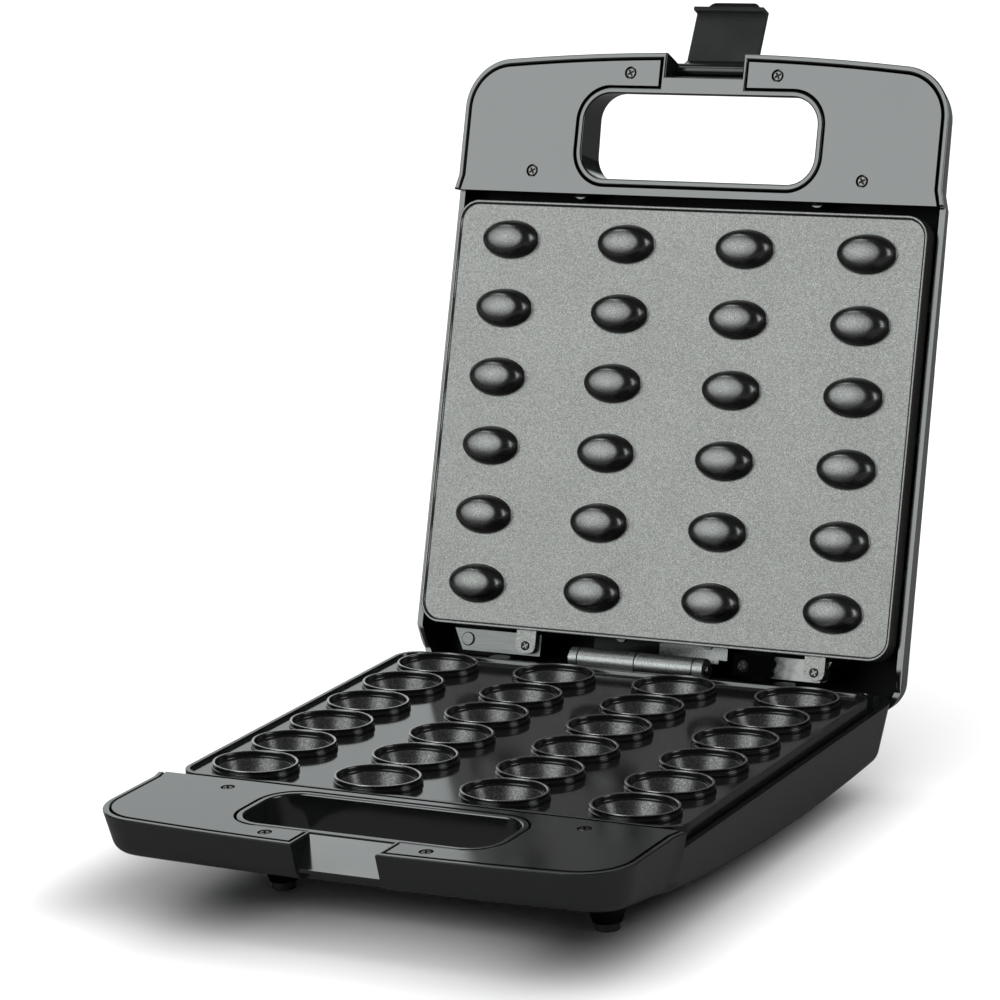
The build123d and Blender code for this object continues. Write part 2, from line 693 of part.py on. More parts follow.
with BuildPart() as terminal_block:
    add(block(base_half, terminal_x, terminal_y, terminal_level - TERMINAL_SIZE[2], terminal_level))
    for pole in (-1, 0, 1):
        pole_x = TERMINAL_PLACE[0] + pole * TERMINAL_PITCH
        mouth_depth = terminal_level - TERMINAL_SIZE[2] / 2
        mouth = base_half.from_local_coords((pole_x, TERMINAL_PLACE[1], mouth_depth))
        with BuildSketch(Plane(mouth, z_dir=(0, 1, 0))):
            Circle(TERMINAL_BORE_R)
        extrude(amount=TERMINAL_SIZE[1], both=True, mode=Mode.SUBTRACT)

# Cord gland through the rear wall, without its cord
wall_through = WALL * cos(radians(DRAFT))
with BuildPart() as cord_gland:
    with BuildSketch(gland_plane):
        Circle(GLAND_FLANGE_R)
    extrude(amount=GLAND_FLANGE)
    with BuildSketch(gland_plane.offset(-wall_through)):
        Circle(GLAND_R)
    extrude(amount=wall_through)
    with BuildSketch(gland_plane.offset(-wall_through - GLAND_FLANGE)):
        Circle(GLAND_FLANGE_R)
    extrude(amount=GLAND_FLANGE)
    with BuildSketch(gland_plane.offset(-DEEP)):
        Circle(GLAND_BORE_R)
    extrude(amount=2 * DEEP, mode=Mode.SUBTRACT)

with BuildPart() as foot_pads:
    add(column(base_half, base_legs, FOOT_R, leg_tip, FOOT_HEIGHT))
    add(column(base_half, base_legs, FOOT_STEM_R, leg_tip - FOOT_STEM, FOOT_STEM))

# Hinge: two leaves on one pin
with BuildPart() as base_hinge_leaf:
    add(hinge_leaf(base_half, PARTING_ABOVE_HINGE, (1, 3), PIN_R))

with BuildPart() as lid_hinge_leaf:
    add(hinge_leaf(lid_half, -PARTING_ABOVE_HINGE, (0, 2), PIN_R + RUNNING_CLEARANCE))

with BuildPart() as hinge_pin:
    add(cross_bar((KNUCKLES[0] - PIN_END, KNUCKLES[-1] + PIN_END), hinge, PIN_R))

with BuildPart() as base_leaf_screws:
    add(screws(base_half, leaf_screw_places(), LEAF_REACH - LEAF_THICK))

with BuildPart() as lid_leaf_screws:
    add(screws(lid_half, leaf_screw_places(), LEAF_REACH - LEAF_THICK))

# Lid shell: a tray with a handle, the notch for the latch and two lens holes
strip_level = lid_lug + LUG_THICK
strip_bottom = strip_level + STRIP_THICK
lid_lug_places = [(x, rear_lug_y) for x in LID_LUGS]
rivet_place = (STRIP_PIN_X, STRIP_PIN_Y)
spare_place = (STRIP_RIGHT[0] + STRIP_END, rear_lug_y)
lens_places = [(-LENS_X, -LENS_Y), (LENS_X, -LENS_Y)]
lens_face = belly_depth(LID_FLOOR, -LENS_Y) + LENS_PROUD
lens_seat = lens_face - LENS_PROUD - WALL - LENS_PAD
latch_pivot = lid_half.from_local_coords((0, -LATCH_PIVOT_Y, LATCH_PIVOT_DEPTH))
with BuildPart() as lid_inside:
    add(closed_body(lid_half, WALL, LID_REAR, LID_REAR_RIM, LID_FLOOR))
    add(bosses(lid_half, LID_PLATE_BOTTOM, lid_front_lug + LUG_THICK, lid_reflector + REFLECTOR_THICK),
        mode=Mode.SUBTRACT)
    add(column(lid_half, lid_lug_places + [rivet_place, spare_place], BOSS_R, strip_bottom),
        mode=Mode.SUBTRACT)
    add(column(lid_half, lens_places, LENS_FLANGE_R + LENS_PAD, lens_seat), mode=Mode.SUBTRACT)

with BuildPart() as lid_shell:
    add(closed_body(lid_half, 0, LID_REAR, LID_REAR_RIM, LID_FLOOR))
    add(cross_bar((-notch_block, notch_block), latch_pivot, LATCH_BARREL_R))
    add(lid_inside.part, mode=Mode.SUBTRACT)
    add(rim_cut(lid_half, LID_SIDE_RIM, LID_REAR_RIM, RIM_CLIMB), mode=Mode.SUBTRACT)
    add(grip_tube(lid_half, 0), mode=Mode.SUBTRACT)
    notch_x = (-NOTCH_HALF_WIDTH, NOTCH_HALF_WIDTH)
    add(block(lid_half, notch_x, (-REACH, -LID_NOTCH_FLOOR), -DEEP), mode=Mode.SUBTRACT)
    add(cross_bar((-notch_block, notch_block), latch_pivot, LATCH_PIN_R), mode=Mode.SUBTRACT)
    add(column(lid_half, COVER_SCREWS, SCREW_R, 0, RIM_DEPTH + SCREW_RECESS + SCREW_LENGTH),
        mode=Mode.SUBTRACT)
    add(column(lid_half, lid_lug_places, SCREW_R, 0, lid_lug + SCREW_LENGTH), mode=Mode.SUBTRACT)
    add(column(lid_half, [rivet_place, spare_place], SCREW_R, 0, strip_level + SCREW_LENGTH),
        mode=Mode.SUBTRACT)
    add(column(lid_half, front_lug_places(), SCREW_R, 0, lid_front_lug + SCREW_LENGTH), mode=Mode.SUBTRACT)
    add(column(lid_half, leaf_screw_places(), SCREW_R, 0, LEAF_REACH - LEAF_THICK + SCREW_LENGTH),
        mode=Mode.SUBTRACT)
    add(column(lid_half, reflector_places(), SCREW_R, 0, lid_reflector + REFLECTOR_SCREW),
        mode=Mode.SUBTRACT)
    add(column(lid_half, lens_places, LENS_R, 0), mode=Mode.SUBTRACT)

with BuildPart() as lid_handle_cover:
    add(handle_cover(lid_half))

with BuildPart() as lid_cover_screws:
    add(screws(lid_half, COVER_SCREWS, RIM_DEPTH + SCREW_RECESS))

# Lid plate: a solid dome at every place of the pattern
dome = elliptic_stack(DOME, 0)
with BuildPart() as lid_plate:
    add(plate_slab(lid_half, 0, LID_PLATE_BOTTOM, LID_LIP, LID_LUGS, lid_lug, lid_front_lug))
    add(row_webs(lid_half, lid_skin_bottom, lid_web_bottom))
    with Locations(*[place * Location((0, 0, 0), (180, 0, 0)) for place in at_cavities(lid_half, 0)]):
        add(dome)

with BuildPart() as lid_plate_screws:
    add(screws(lid_half, lid_lug_places, lid_lug))
    add(screws(lid_half, front_lug_places(), lid_front_lug))

with BuildPart() as lid_element:
    add(heating_tube(lid_half, lid_skin_bottom))

with BuildPart() as lid_reflector_sheet:
    add(reflector_sheet(lid_half, lid_reflector))

with BuildPart() as lid_reflector_screws:
    add(screws(lid_half, reflector_places(), lid_reflector, REFLECTOR_SCREW))

cutout_centre = lid_half.from_local_coords((0, sensor_y, lid_skin_bottom + FUSE_R))
with BuildPart() as lid_thermal_cutout:
    add(cross_bar(fuse_span, cutout_centre, FUSE_R))

# Steel strips behind the lid plate's rear lugs, with a rivet and a spare screw
left_strip = (
    (STRIP_LEFT[0], STRIP_Y[0]),
    (STRIP_LEFT[1], STRIP_Y[0]),
    (STRIP_LEFT[1], STRIP_Y[1]),
    (STRIP_LEFT[0] + STRIP_SLANT, STRIP_Y[1]),
)
right_strip = (
    (STRIP_RIGHT[0], STRIP_Y[0]),
    (STRIP_RIGHT[1], STRIP_Y[0]),
    (STRIP_RIGHT[1] - STRIP_SLANT, STRIP_Y[1]),
    (STRIP_RIGHT[0], STRIP_Y[1]),
)
with BuildPart() as lid_bracket_left:
    with BuildSketch(lid_half.offset(strip_level)):
        with BuildLine():
            Polyline(*left_strip, close=True)
        make_face()
        with Locations(lid_lug_places[0], rivet_place):
            Circle(SCREW_R, mode=Mode.SUBTRACT)
    extrude(amount=STRIP_THICK)

with BuildPart() as lid_bracket_right:
    with BuildSketch(lid_half.offset(strip_level)):
        with BuildLine():
            Polyline(*right_strip, close=True)
        make_face()
        with Locations(lid_lug_places[1], spare_place):
            Circle(SCREW_R, mode=Mode.SUBTRACT)
    extrude(amount=STRIP_THICK)

with BuildPart() as lid_bracket_rivet:
    add(column(lid_half, [rivet_place], STRIP_PIN_R, strip_level - STRIP_PIN_HEAD, STRIP_PIN_HEAD))
    add(column(lid_half, [rivet_place], SCREW_R, strip_level, SCREW_LENGTH))

with BuildPart() as lid_bracket_screw:
    add(screws(lid_half, [spare_place], strip_level))


def lens(place):
    """A round lens pushed out through the lid from inside."""
    with BuildPart() as window:
        add(column(lid_half, [place], LENS_FLANGE_R, lens_seat - LENS_FLANGE, LENS_FLANGE))
        add(column(lid_half, [place], LENS_R, lens_seat, lens_face - lens_seat))
        fillet(window.faces().sort_by(Axis(lid_half.origin, lid_half.z_dir))[-1].edges(), LENS_PROUD / 2)
    return window.part


with BuildPart() as power_lens:
    add(lens(lens_places[0]))

with BuildPart() as ready_lens:
    add(lens(lens_places[1]))

with BuildPart() as indicator_lamps:
    add(column(lid_half, lens_places, LAMP_R, lens_seat - LENS_FLANGE - LAMP_LENGTH, LAMP_LENGTH))

# Latch, swung open about its pin
latch_turn = lid_swing + latch_swing
latch_plane = Plane(latch_pivot, x_dir=(0, cos(latch_turn), -sin(latch_turn)), z_dir=(1, 0, 0))
latch_inner = -LATCH_BARREL_R
latch_outer = -LATCH_BARREL_R - LATCH_THICK
lip_end = LATCH_REACH + LATCH_LIP_THICK
latch_arm = (
    (0, 0),
    (latch_inner * 0.7, LATCH_BARREL_R * 0.7),
    (latch_outer, -LATCH_BARREL_R),
    (latch_outer, -lip_end),
    (latch_inner + LATCH_LIP, -lip_end),
    (latch_inner + LATCH_LIP, -LATCH_REACH),
    (latch_inner, -LATCH_REACH),
    (latch_inner, -2 * LATCH_BARREL_R),
    (0, -LATCH_BARREL_R),
)
latch_tab = (
    (latch_outer, -lip_end),
    (latch_outer - LATCH_TAB_FLARE, -lip_end - LATCH_TAB),
    (latch_outer - LATCH_TAB_FLARE + LATCH_LIP_THICK, -lip_end - LATCH_TAB),
    (latch_inner, -lip_end),
)
barrel_end = NOTCH_HALF_WIDTH - LATCH_SIDE_GAP
with BuildPart() as finger_tab:
    with BuildSketch(latch_plane):
        with BuildLine():
            Polyline(*latch_tab, close=True)
        make_face()
    extrude(amount=LATCH_TAB_WIDTH / 2, both=True)
    tip = finger_tab.faces().sort_by(Axis(latch_pivot, -latch_plane.y_dir))[-1]
    fillet(tip.edges().sort_by(SortBy.LENGTH)[:2], LATCH_TAB_ROUND)

with BuildPart() as latch_clip:
    with BuildSketch(latch_plane):
        with BuildLine():
            Polyline(*latch_arm, close=True)
        make_face()
    extrude(amount=LATCH_WIDTH / 2, both=True)
    add(finger_tab.part)
    barrel_span = (-barrel_end, barrel_end)
    add(cross_bar(barrel_span, latch_pivot, LATCH_BARREL_R))
    add(cross_bar(barrel_span, latch_pivot, LATCH_PIN_R + RUNNING_CLEARANCE), mode=Mode.SUBTRACT)

with BuildPart() as latch_pin:
    add(cross_bar((-notch_block, notch_block), latch_pivot, LATCH_PIN_R))

os.makedirs("parts", exist_ok=True)

base_shell.part.label = "base_shell"
export_step(base_shell.part, "parts/base_shell.step")

base_handle_cover.part.label = "base_handle_cover"
export_step(base_handle_cover.part, "parts/base_handle_cover.step")

base_cover_screws.part.label = "base_cover_screws"
export_step(base_cover_screws.part, "parts/base_cover_screws.step")

base_plate.part.label = "base_plate"
export_step(base_plate.part, "parts/base_plate.step")

base_plate_screws.part.label = "base_plate_screws"
export_step(base_plate_screws.part, "parts/base_plate_screws.step")

base_element.part.label = "base_element"
export_step(base_element.part, "parts/base_element.step")

base_thermostat.part.label = "base_thermostat"
export_step(base_thermostat.part, "parts/base_thermostat.step")

base_reflector_sheet.part.label = "base_reflector_sheet"
export_step(base_reflector_sheet.part, "parts/base_reflector_sheet.step")

base_reflector_screws.part.label = "base_reflector_screws"
export_step(base_reflector_screws.part, "parts/base_reflector_screws.step")

base_thermal_fuse.part.label = "base_thermal_fuse"
export_step(base_thermal_fuse.part, "parts/base_thermal_fuse.step")

terminal_block.part.label = "terminal_block"
export_step(terminal_block.part, "parts/terminal_block.step")

cord_gland.part.label = "cord_gland"
export_step(cord_gland.part, "parts/cord_gland.step")

foot_pads.part.label = "foot_pads"
export_step(foot_pads.part, "parts/foot_pads.step")

base_hinge_leaf.part.label = "base_hinge_leaf"
export_step(base_hinge_leaf.part, "parts/base_hinge_leaf.step")

lid_hinge_leaf.part.label = "lid_hinge_leaf"
export_step(lid_hinge_leaf.part, "parts/lid_hinge_leaf.step")

hinge_pin.part.label = "hinge_pin"
export_step(hinge_pin.part, "parts/hinge_pin.step")

base_leaf_screws.part.label = "base_leaf_screws"
export_step(base_leaf_screws.part, "parts/base_leaf_screws.step")

lid_leaf_screws.part.label = "lid_leaf_screws"
export_step(lid_leaf_screws.part, "parts/lid_leaf_screws.step")

lid_shell.part.label = "lid_shell"
export_step(lid_shell.part, "parts/lid_shell.step")

lid_handle_cover.part.label = "lid_handle_cover"
export_step(lid_handle_cover.part, "parts/lid_handle_cover.step")

lid_cover_screws.part.label = "lid_cover_screws"
export_step(lid_cover_screws.part, "parts/lid_cover_screws.step")

lid_plate.part.label = "lid_plate"
export_step(lid_plate.part, "parts/lid_plate.step")

lid_plate_screws.part.label = "lid_plate_screws"
export_step(lid_plate_screws.part, "parts/lid_plate_screws.step")

lid_element.part.label = "lid_element"
export_step(lid_element.part, "parts/lid_element.step")

lid_reflector_sheet.part.label = "lid_reflector_sheet"
export_step(lid_reflector_sheet.part, "parts/lid_reflector_sheet.step")

lid_reflector_screws.part.label = "lid_reflector_screws"
export_step(lid_reflector_screws.part, "parts/lid_reflector_screws.step")

lid_thermal_cutout.part.label = "lid_thermal_cutout"
export_step(lid_thermal_cutout.part, "parts/lid_thermal_cutout.step")

lid_bracket_left.part.label = "lid_bracket_left"
export_step(lid_bracket_left.part, "parts/lid_bracket_left.step")

lid_bracket_right.part.label = "lid_bracket_right"
export_step(lid_bracket_right.part, "parts/lid_bracket_right.step")

lid_bracket_rivet.part.label = "lid_bracket_rivet"
export_step(lid_bracket_rivet.part, "parts/lid_bracket_rivet.step")

lid_bracket_screw.part.label = "lid_bracket_screw"
export_step(lid_bracket_screw.part, "parts/lid_bracket_screw.step")

power_lens.part.label = "power_lens"
export_step(power_lens.part, "parts/power_lens.step")

ready_lens.part.label = "ready_lens"
export_step(ready_lens.part, "parts/ready_lens.step")

indicator_lamps.part.label = "indicator_lamps"
export_step(indicator_lamps.part, "parts/indicator_lamps.step")

latch_clip.part.label = "latch_clip"
export_step(latch_clip.part, "parts/latch_clip.step")

latch_pin.part.label = "latch_pin"
export_step(latch_pin.part, "parts/latch_pin.step")
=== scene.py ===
# %% [markdown]
# # An electric nut cookie maker
# Two hinged halves stand open on a pale table. The lower plate holds 24 rimmed moulds and the upper
# plate 24 domes. The CAD frame gives every solid its place, and this lesson gives the solids their
# rounded edges, cast surfaces and finishes. Nothing in the frame is moved.

# %% Load the frame
import json
import math
import bpy
import bmesh
from mathutils import Matrix, Vector


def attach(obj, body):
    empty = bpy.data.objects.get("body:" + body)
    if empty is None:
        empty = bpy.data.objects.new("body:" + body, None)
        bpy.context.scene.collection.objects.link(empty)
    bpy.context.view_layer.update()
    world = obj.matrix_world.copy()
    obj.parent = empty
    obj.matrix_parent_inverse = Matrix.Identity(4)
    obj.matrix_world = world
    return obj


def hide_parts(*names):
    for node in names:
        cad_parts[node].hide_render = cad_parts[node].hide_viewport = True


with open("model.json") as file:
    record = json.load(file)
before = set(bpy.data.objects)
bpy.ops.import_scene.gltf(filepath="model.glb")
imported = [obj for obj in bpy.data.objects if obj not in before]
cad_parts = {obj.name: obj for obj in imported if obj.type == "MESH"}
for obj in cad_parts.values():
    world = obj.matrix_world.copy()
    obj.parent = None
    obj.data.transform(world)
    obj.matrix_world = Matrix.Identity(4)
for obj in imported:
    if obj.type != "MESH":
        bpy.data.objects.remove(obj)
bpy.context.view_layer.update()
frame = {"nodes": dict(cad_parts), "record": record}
print("nodes in the frame:", len(frame["nodes"]))

# %% [markdown]
# ## The camera
# The photograph was taken from the right of the handle, a little above it, with a long lens. The three
# angles and the distance were solved from the centres of the moulds and the domes. An alternative is to
# aim a camera by eye, but then no edge would lie quite over its place in the photograph.

# %% Camera
AZIMUTH, ELEVATION, ROLL = map(math.radians, (28.56, 13.46, -2.90))
CAMERA_SPOT = (0.80634, -1.53161, 0.56278)
SENSOR_WIDTH, FOCAL_LENGTH = 36, 147.76
FARTHEST_SEEN = 60
toward = Vector((math.sin(AZIMUTH) * math.cos(ELEVATION), -math.cos(AZIMUTH) * math.cos(ELEVATION),
                 math.sin(ELEVATION)))
level = Vector((0, 0, 1)).cross(toward).normalized()
upright = toward.cross(level)
right = math.cos(ROLL) * level + math.sin(ROLL) * upright
up = -math.sin(ROLL) * level + math.cos(ROLL) * upright
bpy.ops.object.camera_add()
camera = bpy.context.object
camera.matrix_world = Matrix.Translation(CAMERA_SPOT) @ Matrix((right, up, toward)).transposed().to_4x4()
camera.data.sensor_width = SENSOR_WIDTH
camera.data.lens = FOCAL_LENGTH
camera.data.clip_end = FARTHEST_SEEN
bpy.context.scene.camera = camera
print("lens:", camera.data.lens, "mm")

# %% [markdown]
# ## Small helpers
# Blender's operators act on whatever is selected, so every step begins by letting go of everything and
# picking one object. A ring of edges or a face is then chosen by its place. What is done many times,
# such as copying, applying a modifier or rounding edges, is a helper too.

# %% Selecting helpers
def pick(piece):
    for other in bpy.context.selected_objects:
        other.select_set(False)
    piece.select_set(True)
    bpy.context.view_layer.objects.active = piece


def mark(piece, kind, test):
    """In edit mode, selects the faces or edges whose centre passes the test."""
    mesh = bmesh.from_edit_mesh(piece.data)
    for part in (*mesh.faces, *mesh.edges, *mesh.verts):
        part.select = False
    for part in mesh.faces if kind == "FACE" else mesh.edges:
        corners = [v.co for v in part.verts]
        middle = sum(corners, Vector()) / len(corners)
        if test(part, middle):
            part.select_set(True)
    bmesh.update_edit_mesh(piece.data)


def settle(piece, place=None):
    """Puts the piece in its place in the frame, with the object itself back at the origin."""
    pick(piece)
    if place is not None:
        piece.matrix_world = place @ piece.matrix_world
    bpy.ops.object.transform_apply(location=True, rotation=True, scale=True)


# %% Copying and modifying helpers
MM = 0.001


def copy_of(one, spot=(0, 0, 0)):
    """A copy with a mesh of its own, at a spot in mm."""
    copy = one.copy()
    copy.data = one.data.copy()
    bpy.context.scene.collection.objects.link(copy)
    copy.location = Vector(spot) * MM
    return copy


def join_all(main, others):
    pick(main)
    for other in others:
        other.select_set(True)
    bpy.ops.object.join()
    return main


def apply_modifier(piece, label, kind, **settings):
    """Adds a modifier and makes its result the piece's own mesh."""
    modifier = piece.modifiers.new(label, kind)
    for key, value in settings.items():
        setattr(modifier, key, value)
    pick(piece)
    bpy.ops.object.modifier_apply(modifier=modifier.name)


def round_edges(piece, width, sharp):
    """Rounds by a width in mm the edges that turn by more than sharp, in degrees."""
    apply_modifier(piece, "edge rounding", "BEVEL", width=width * MM, segments=2,
                   limit_method="ANGLE", angle_limit=math.radians(sharp))


# %% [markdown]
# ## Where the two halves are
# The lid turns about the hinge, and in the photograph it is 108.1 degrees open. Pieces of the lid are
# modelled lying face up round the hinge, which is easy to think about, and this matrix stands them up.

# %% Places of the halves
HINGE = Vector((0, 77.888, 52.0)) * MM
OPENED = math.radians(108.1)
BASE_PLACE = Matrix.Translation((0, HINGE.y, 54 * MM))
LID_PLACE = (Matrix.Translation(HINGE) @ Matrix.Rotation(-OPENED, 4, "X")
             @ Matrix.Translation((0, 0, 2 * MM)) @ Matrix.Rotation(math.pi, 4, "Y"))


def face_direction(place):
    """The direction in which the inner face of a half looks."""
    return place.to_3x3() @ Vector((0, 0, 1))


# %% [markdown]
# ## Shared surface effects
# Real finishes are never even. Moulded plastic has a faint orange peel, a baked coating has tiny bright
# flecks, and rolled steel has a grain in one direction. Each effect is a node group, so several
# materials can use it with their own values. Painted image maps would do too, but they fix the scale.

# %% Node group helper
def new_effect(name, inputs, outputs):
    group = bpy.data.node_groups.new(name, "ShaderNodeTree")
    for label, kind, value in inputs:
        socket = group.interface.new_socket(label, in_out="INPUT", socket_type=kind)
        if value is not None:
            socket.default_value = value
    for label, kind in outputs:
        group.interface.new_socket(label, in_out="OUTPUT", socket_type=kind)
    return group, group.nodes.new("NodeGroupInput"), group.nodes.new("NodeGroupOutput")


def add_node(tree, kind, inputs=(), **settings):
    node = tree.nodes.new(kind)
    for key, value in settings.items():
        setattr(node, key, value)
    for key, value in dict(inputs).items():
        if isinstance(value, bpy.types.NodeSocket):
            tree.links.new(value, node.inputs[key])
        else:
            node.inputs[key].default_value = value
    return node


# %% Orange peel of moulded plastic
FLOAT, VECTOR = "NodeSocketFloat", "NodeSocketVector"
moulded_skin, given, made = new_effect(
    "moulded_skin",
    [("Vector", VECTOR, None), ("Peel size", FLOAT, 900.0), ("Haze size", FLOAT, 25.0)],
    [("Height", FLOAT), ("Haze", FLOAT)])
peel = add_node(moulded_skin, "ShaderNodeTexNoise", {
    "Vector": given.outputs["Vector"], "Scale": given.outputs["Peel size"], "Detail": 2.0})
haze = add_node(moulded_skin, "ShaderNodeTexNoise", {
    "Vector": given.outputs["Vector"], "Scale": given.outputs["Haze size"],
    "Detail": 5.0, "Roughness": 0.6})
haze_range = add_node(moulded_skin, "ShaderNodeMapRange", {
    "Value": haze.outputs[0], "From Min": 0.35, "From Max": 0.7})
moulded_skin.links.new(peel.outputs[0], made.inputs["Height"])
moulded_skin.links.new(haze_range.outputs[0], made.inputs["Haze"])

# %% Flecks of a baked coating
baked_coating, given, made = new_effect(
    "baked_coating",
    [("Vector", VECTOR, None), ("Fleck size", FLOAT, 3000.0), ("Fleck share", FLOAT, 0.5)],
    [("Flecks", FLOAT), ("Height", FLOAT), ("Patches", FLOAT)])
cells = add_node(baked_coating, "ShaderNodeTexVoronoi", {
    "Vector": given.outputs["Vector"], "Scale": given.outputs["Fleck size"]}, feature="F1")
split = add_node(baked_coating, "ShaderNodeSeparateColor", {"Color": cells.outputs["Color"]})
flecks = add_node(baked_coating, "ShaderNodeMapRange", {
    "Value": split.outputs[0], "From Min": given.outputs["Fleck share"], "From Max": 1.0})
patches = add_node(baked_coating, "ShaderNodeTexNoise", {
    "Vector": given.outputs["Vector"], "Scale": 30.0, "Detail": 4.0})
grit = add_node(baked_coating, "ShaderNodeTexNoise", {
    "Vector": given.outputs["Vector"], "Scale": 2200.0, "Detail": 3.0})
for socket, source in (("Flecks", flecks), ("Height", grit), ("Patches", patches)):
    baked_coating.links.new(source.outputs[0], made.inputs[socket])

# %% Grain of rolled sheet
rolled_grain, given, made = new_effect(
    "rolled_grain",
    [("Vector", VECTOR, None), ("Stretch", VECTOR, (60.0, 1500.0, 1500.0))],
    [("Height", FLOAT), ("Streaks", FLOAT)])
stretched = add_node(rolled_grain, "ShaderNodeVectorMath", {
    0: given.outputs["Vector"], 1: given.outputs["Stretch"]}, operation="MULTIPLY")
streaks = add_node(rolled_grain, "ShaderNodeTexNoise", {
    "Vector": stretched.outputs[0], "Scale": 1.0, "Detail": 4.0})
streak_range = add_node(rolled_grain, "ShaderNodeMapRange", {
    "Value": streaks.outputs[0], "From Min": 0.3, "From Max": 0.7})
rolled_grain.links.new(streaks.outputs[0], made.inputs["Height"])
rolled_grain.links.new(streak_range.outputs[0], made.inputs["Streaks"])

# %% Dust that settles on upward faces
settled_dust, given, made = new_effect(
    "settled_dust", [("Vector", VECTOR, None), ("Amount", FLOAT, 0.1)], [("Mask", FLOAT)])
facing = add_node(settled_dust, "ShaderNodeNewGeometry")
upward = add_node(settled_dust, "ShaderNodeSeparateXYZ", {0: facing.outputs["Normal"]})
specks = add_node(settled_dust, "ShaderNodeTexNoise", {
    "Vector": given.outputs["Vector"], "Scale": 420.0, "Detail": 6.0, "Roughness": 0.7})
specks_range = add_node(settled_dust, "ShaderNodeMapRange", {
    "Value": specks.outputs[0], "From Min": 0.5, "From Max": 0.75})
lying = add_node(settled_dust, "ShaderNodeMath", {
    0: upward.outputs["Z"], 1: specks_range.outputs[0]}, operation="MULTIPLY", use_clamp=True)
dusty = add_node(settled_dust, "ShaderNodeMath", {
    0: lying.outputs[0], 1: given.outputs["Amount"]}, operation="MULTIPLY")
settled_dust.links.new(dusty.outputs[0], made.inputs["Mask"])
print("effects:", [g.name for g in bpy.data.node_groups])

# %% [markdown]
# ## Finishes
# A finish is one Principled shader whose roughness, colour and fine relief come from the effects above.
# The constant values sit on the shader's own sockets.

# %% Material helpers
def grey(value):
    return value, value, value


def new_finish(name, colour, roughness, metallic=0.0, **sockets):
    material = bpy.data.materials.new(name)
    material.use_nodes = True
    shader = material.node_tree.nodes["Principled BSDF"]
    shader.inputs["Base Color"].default_value = (*colour, 1)
    shader.inputs["Roughness"].default_value = roughness
    shader.inputs["Metallic"].default_value = metallic
    for label, value in sockets.items():
        shader.inputs[label.replace("_", " ")].default_value = value
    return material, material.node_tree, shader


def effect(tree, group, inputs=()):
    """Places a shared effect in a material, on the piece's own coordinates."""
    here = add_node(tree, "ShaderNodeTexCoord")
    return add_node(tree, "ShaderNodeGroup", {"Vector": here.outputs["Object"], **dict(inputs)},
                    node_tree=group)


def spread(tree, source, low, high):
    """Carries a value between 0 and 1 over to the range from low to high."""
    return add_node(tree, "ShaderNodeMapRange", {
        "Value": source, "To Min": low, "To Max": high}).outputs[0]


def relief(tree, shader, height, strength, distance):
    bump = add_node(tree, "ShaderNodeBump", {
        "Height": height, "Strength": strength, "Distance": distance})
    tree.links.new(bump.outputs[0], shader.inputs["Normal"])


def tint(tree, shader, mask, dark, light):
    """Colours the surface dark where the mask is 0 and light where it is 1."""
    mixer = add_node(tree, "ShaderNodeMix", data_type="RGBA")
    mixer.inputs[6].default_value = (*dark, 1)
    mixer.inputs[7].default_value = (*light, 1)
    tree.links.new(mask, mixer.inputs[0])
    tree.links.new(mixer.outputs[2], shader.inputs["Base Color"])


# %% [markdown]
# ### Black mouldings
# The shells and the handle covers are glossy black plastic that mirrors the studio. Most of what the
# photograph shows on them is a reflection, so the colour is nearly black and the surface nearly smooth.
# The narrow joints round the covers mirror nothing, and a darker, rough black is painted in as the shade
# of their depth.

# %% Plastics
def plastic_finish(name, colour, smooth, rough, dust, gloss=1.5):
    """smooth and rough: the range of the roughness; gloss: the index of refraction."""
    material, tree, shader = new_finish(name, colour, smooth, IOR=gloss)
    skin = effect(tree, moulded_skin)
    tree.links.new(spread(tree, skin.outputs["Haze"], smooth, rough), shader.inputs["Roughness"])
    relief(tree, shader, skin.outputs["Height"], 0.25, 0.00001)
    lying_dust = effect(tree, settled_dust, {"Amount": dust})
    tint(tree, shader, lying_dust.outputs["Mask"], colour, (0.20, 0.20, 0.19))
    return material


gloss_black = plastic_finish("gloss_black_moulding", (0.005, 0.0055, 0.0055), 0.10, 0.16, 0.02, 1.8)
satin_black = plastic_finish("satin_black_moulding", (0.006, 0.0065, 0.0065), 0.16, 0.24, 0.02, 1.45)
# Painted shade: a darker, rough black for joints and recesses that light hardly reaches.
painted_shade_black = plastic_finish("painted_shade_black_moulding", grey(0.002), 0.60, 0.70, 0.0, 1.25)
foot_rubber = plastic_finish("grey_black_rubber", grey(0.018), 0.60, 0.75, 0.15)
fired_ceramic = plastic_finish("fired_white_ceramic", (0.70, 0.68, 0.62), 0.30, 0.45, 0.02)
print("finishes so far:", len(bpy.data.materials))

# %% [markdown]
# ### Coated plates
# Both plates are cast aluminium with a dark non-stick coating. Fine mineral flecks in it catch the light
# one by one, which gives the lid plate its grainy grey. Voronoi cells of a third of a millimetre are
# bright or dark at random, like those flecks.

# %% Plate coatings
def coating_finish(name, dark, light, smooth, rough, share, metallic, gloss=1.5):
    """share: the part of the cells that stays dark, with no fleck in it."""
    material, tree, shader = new_finish(name, dark, rough, metallic, IOR=gloss)
    coat = effect(tree, baked_coating, {"Fleck share": share})
    tint(tree, shader, coat.outputs["Flecks"], dark, light)
    tree.links.new(spread(tree, coat.outputs["Patches"], smooth, rough), shader.inputs["Roughness"])
    relief(tree, shader, coat.outputs["Height"], 0.15, 0.00001)
    return material


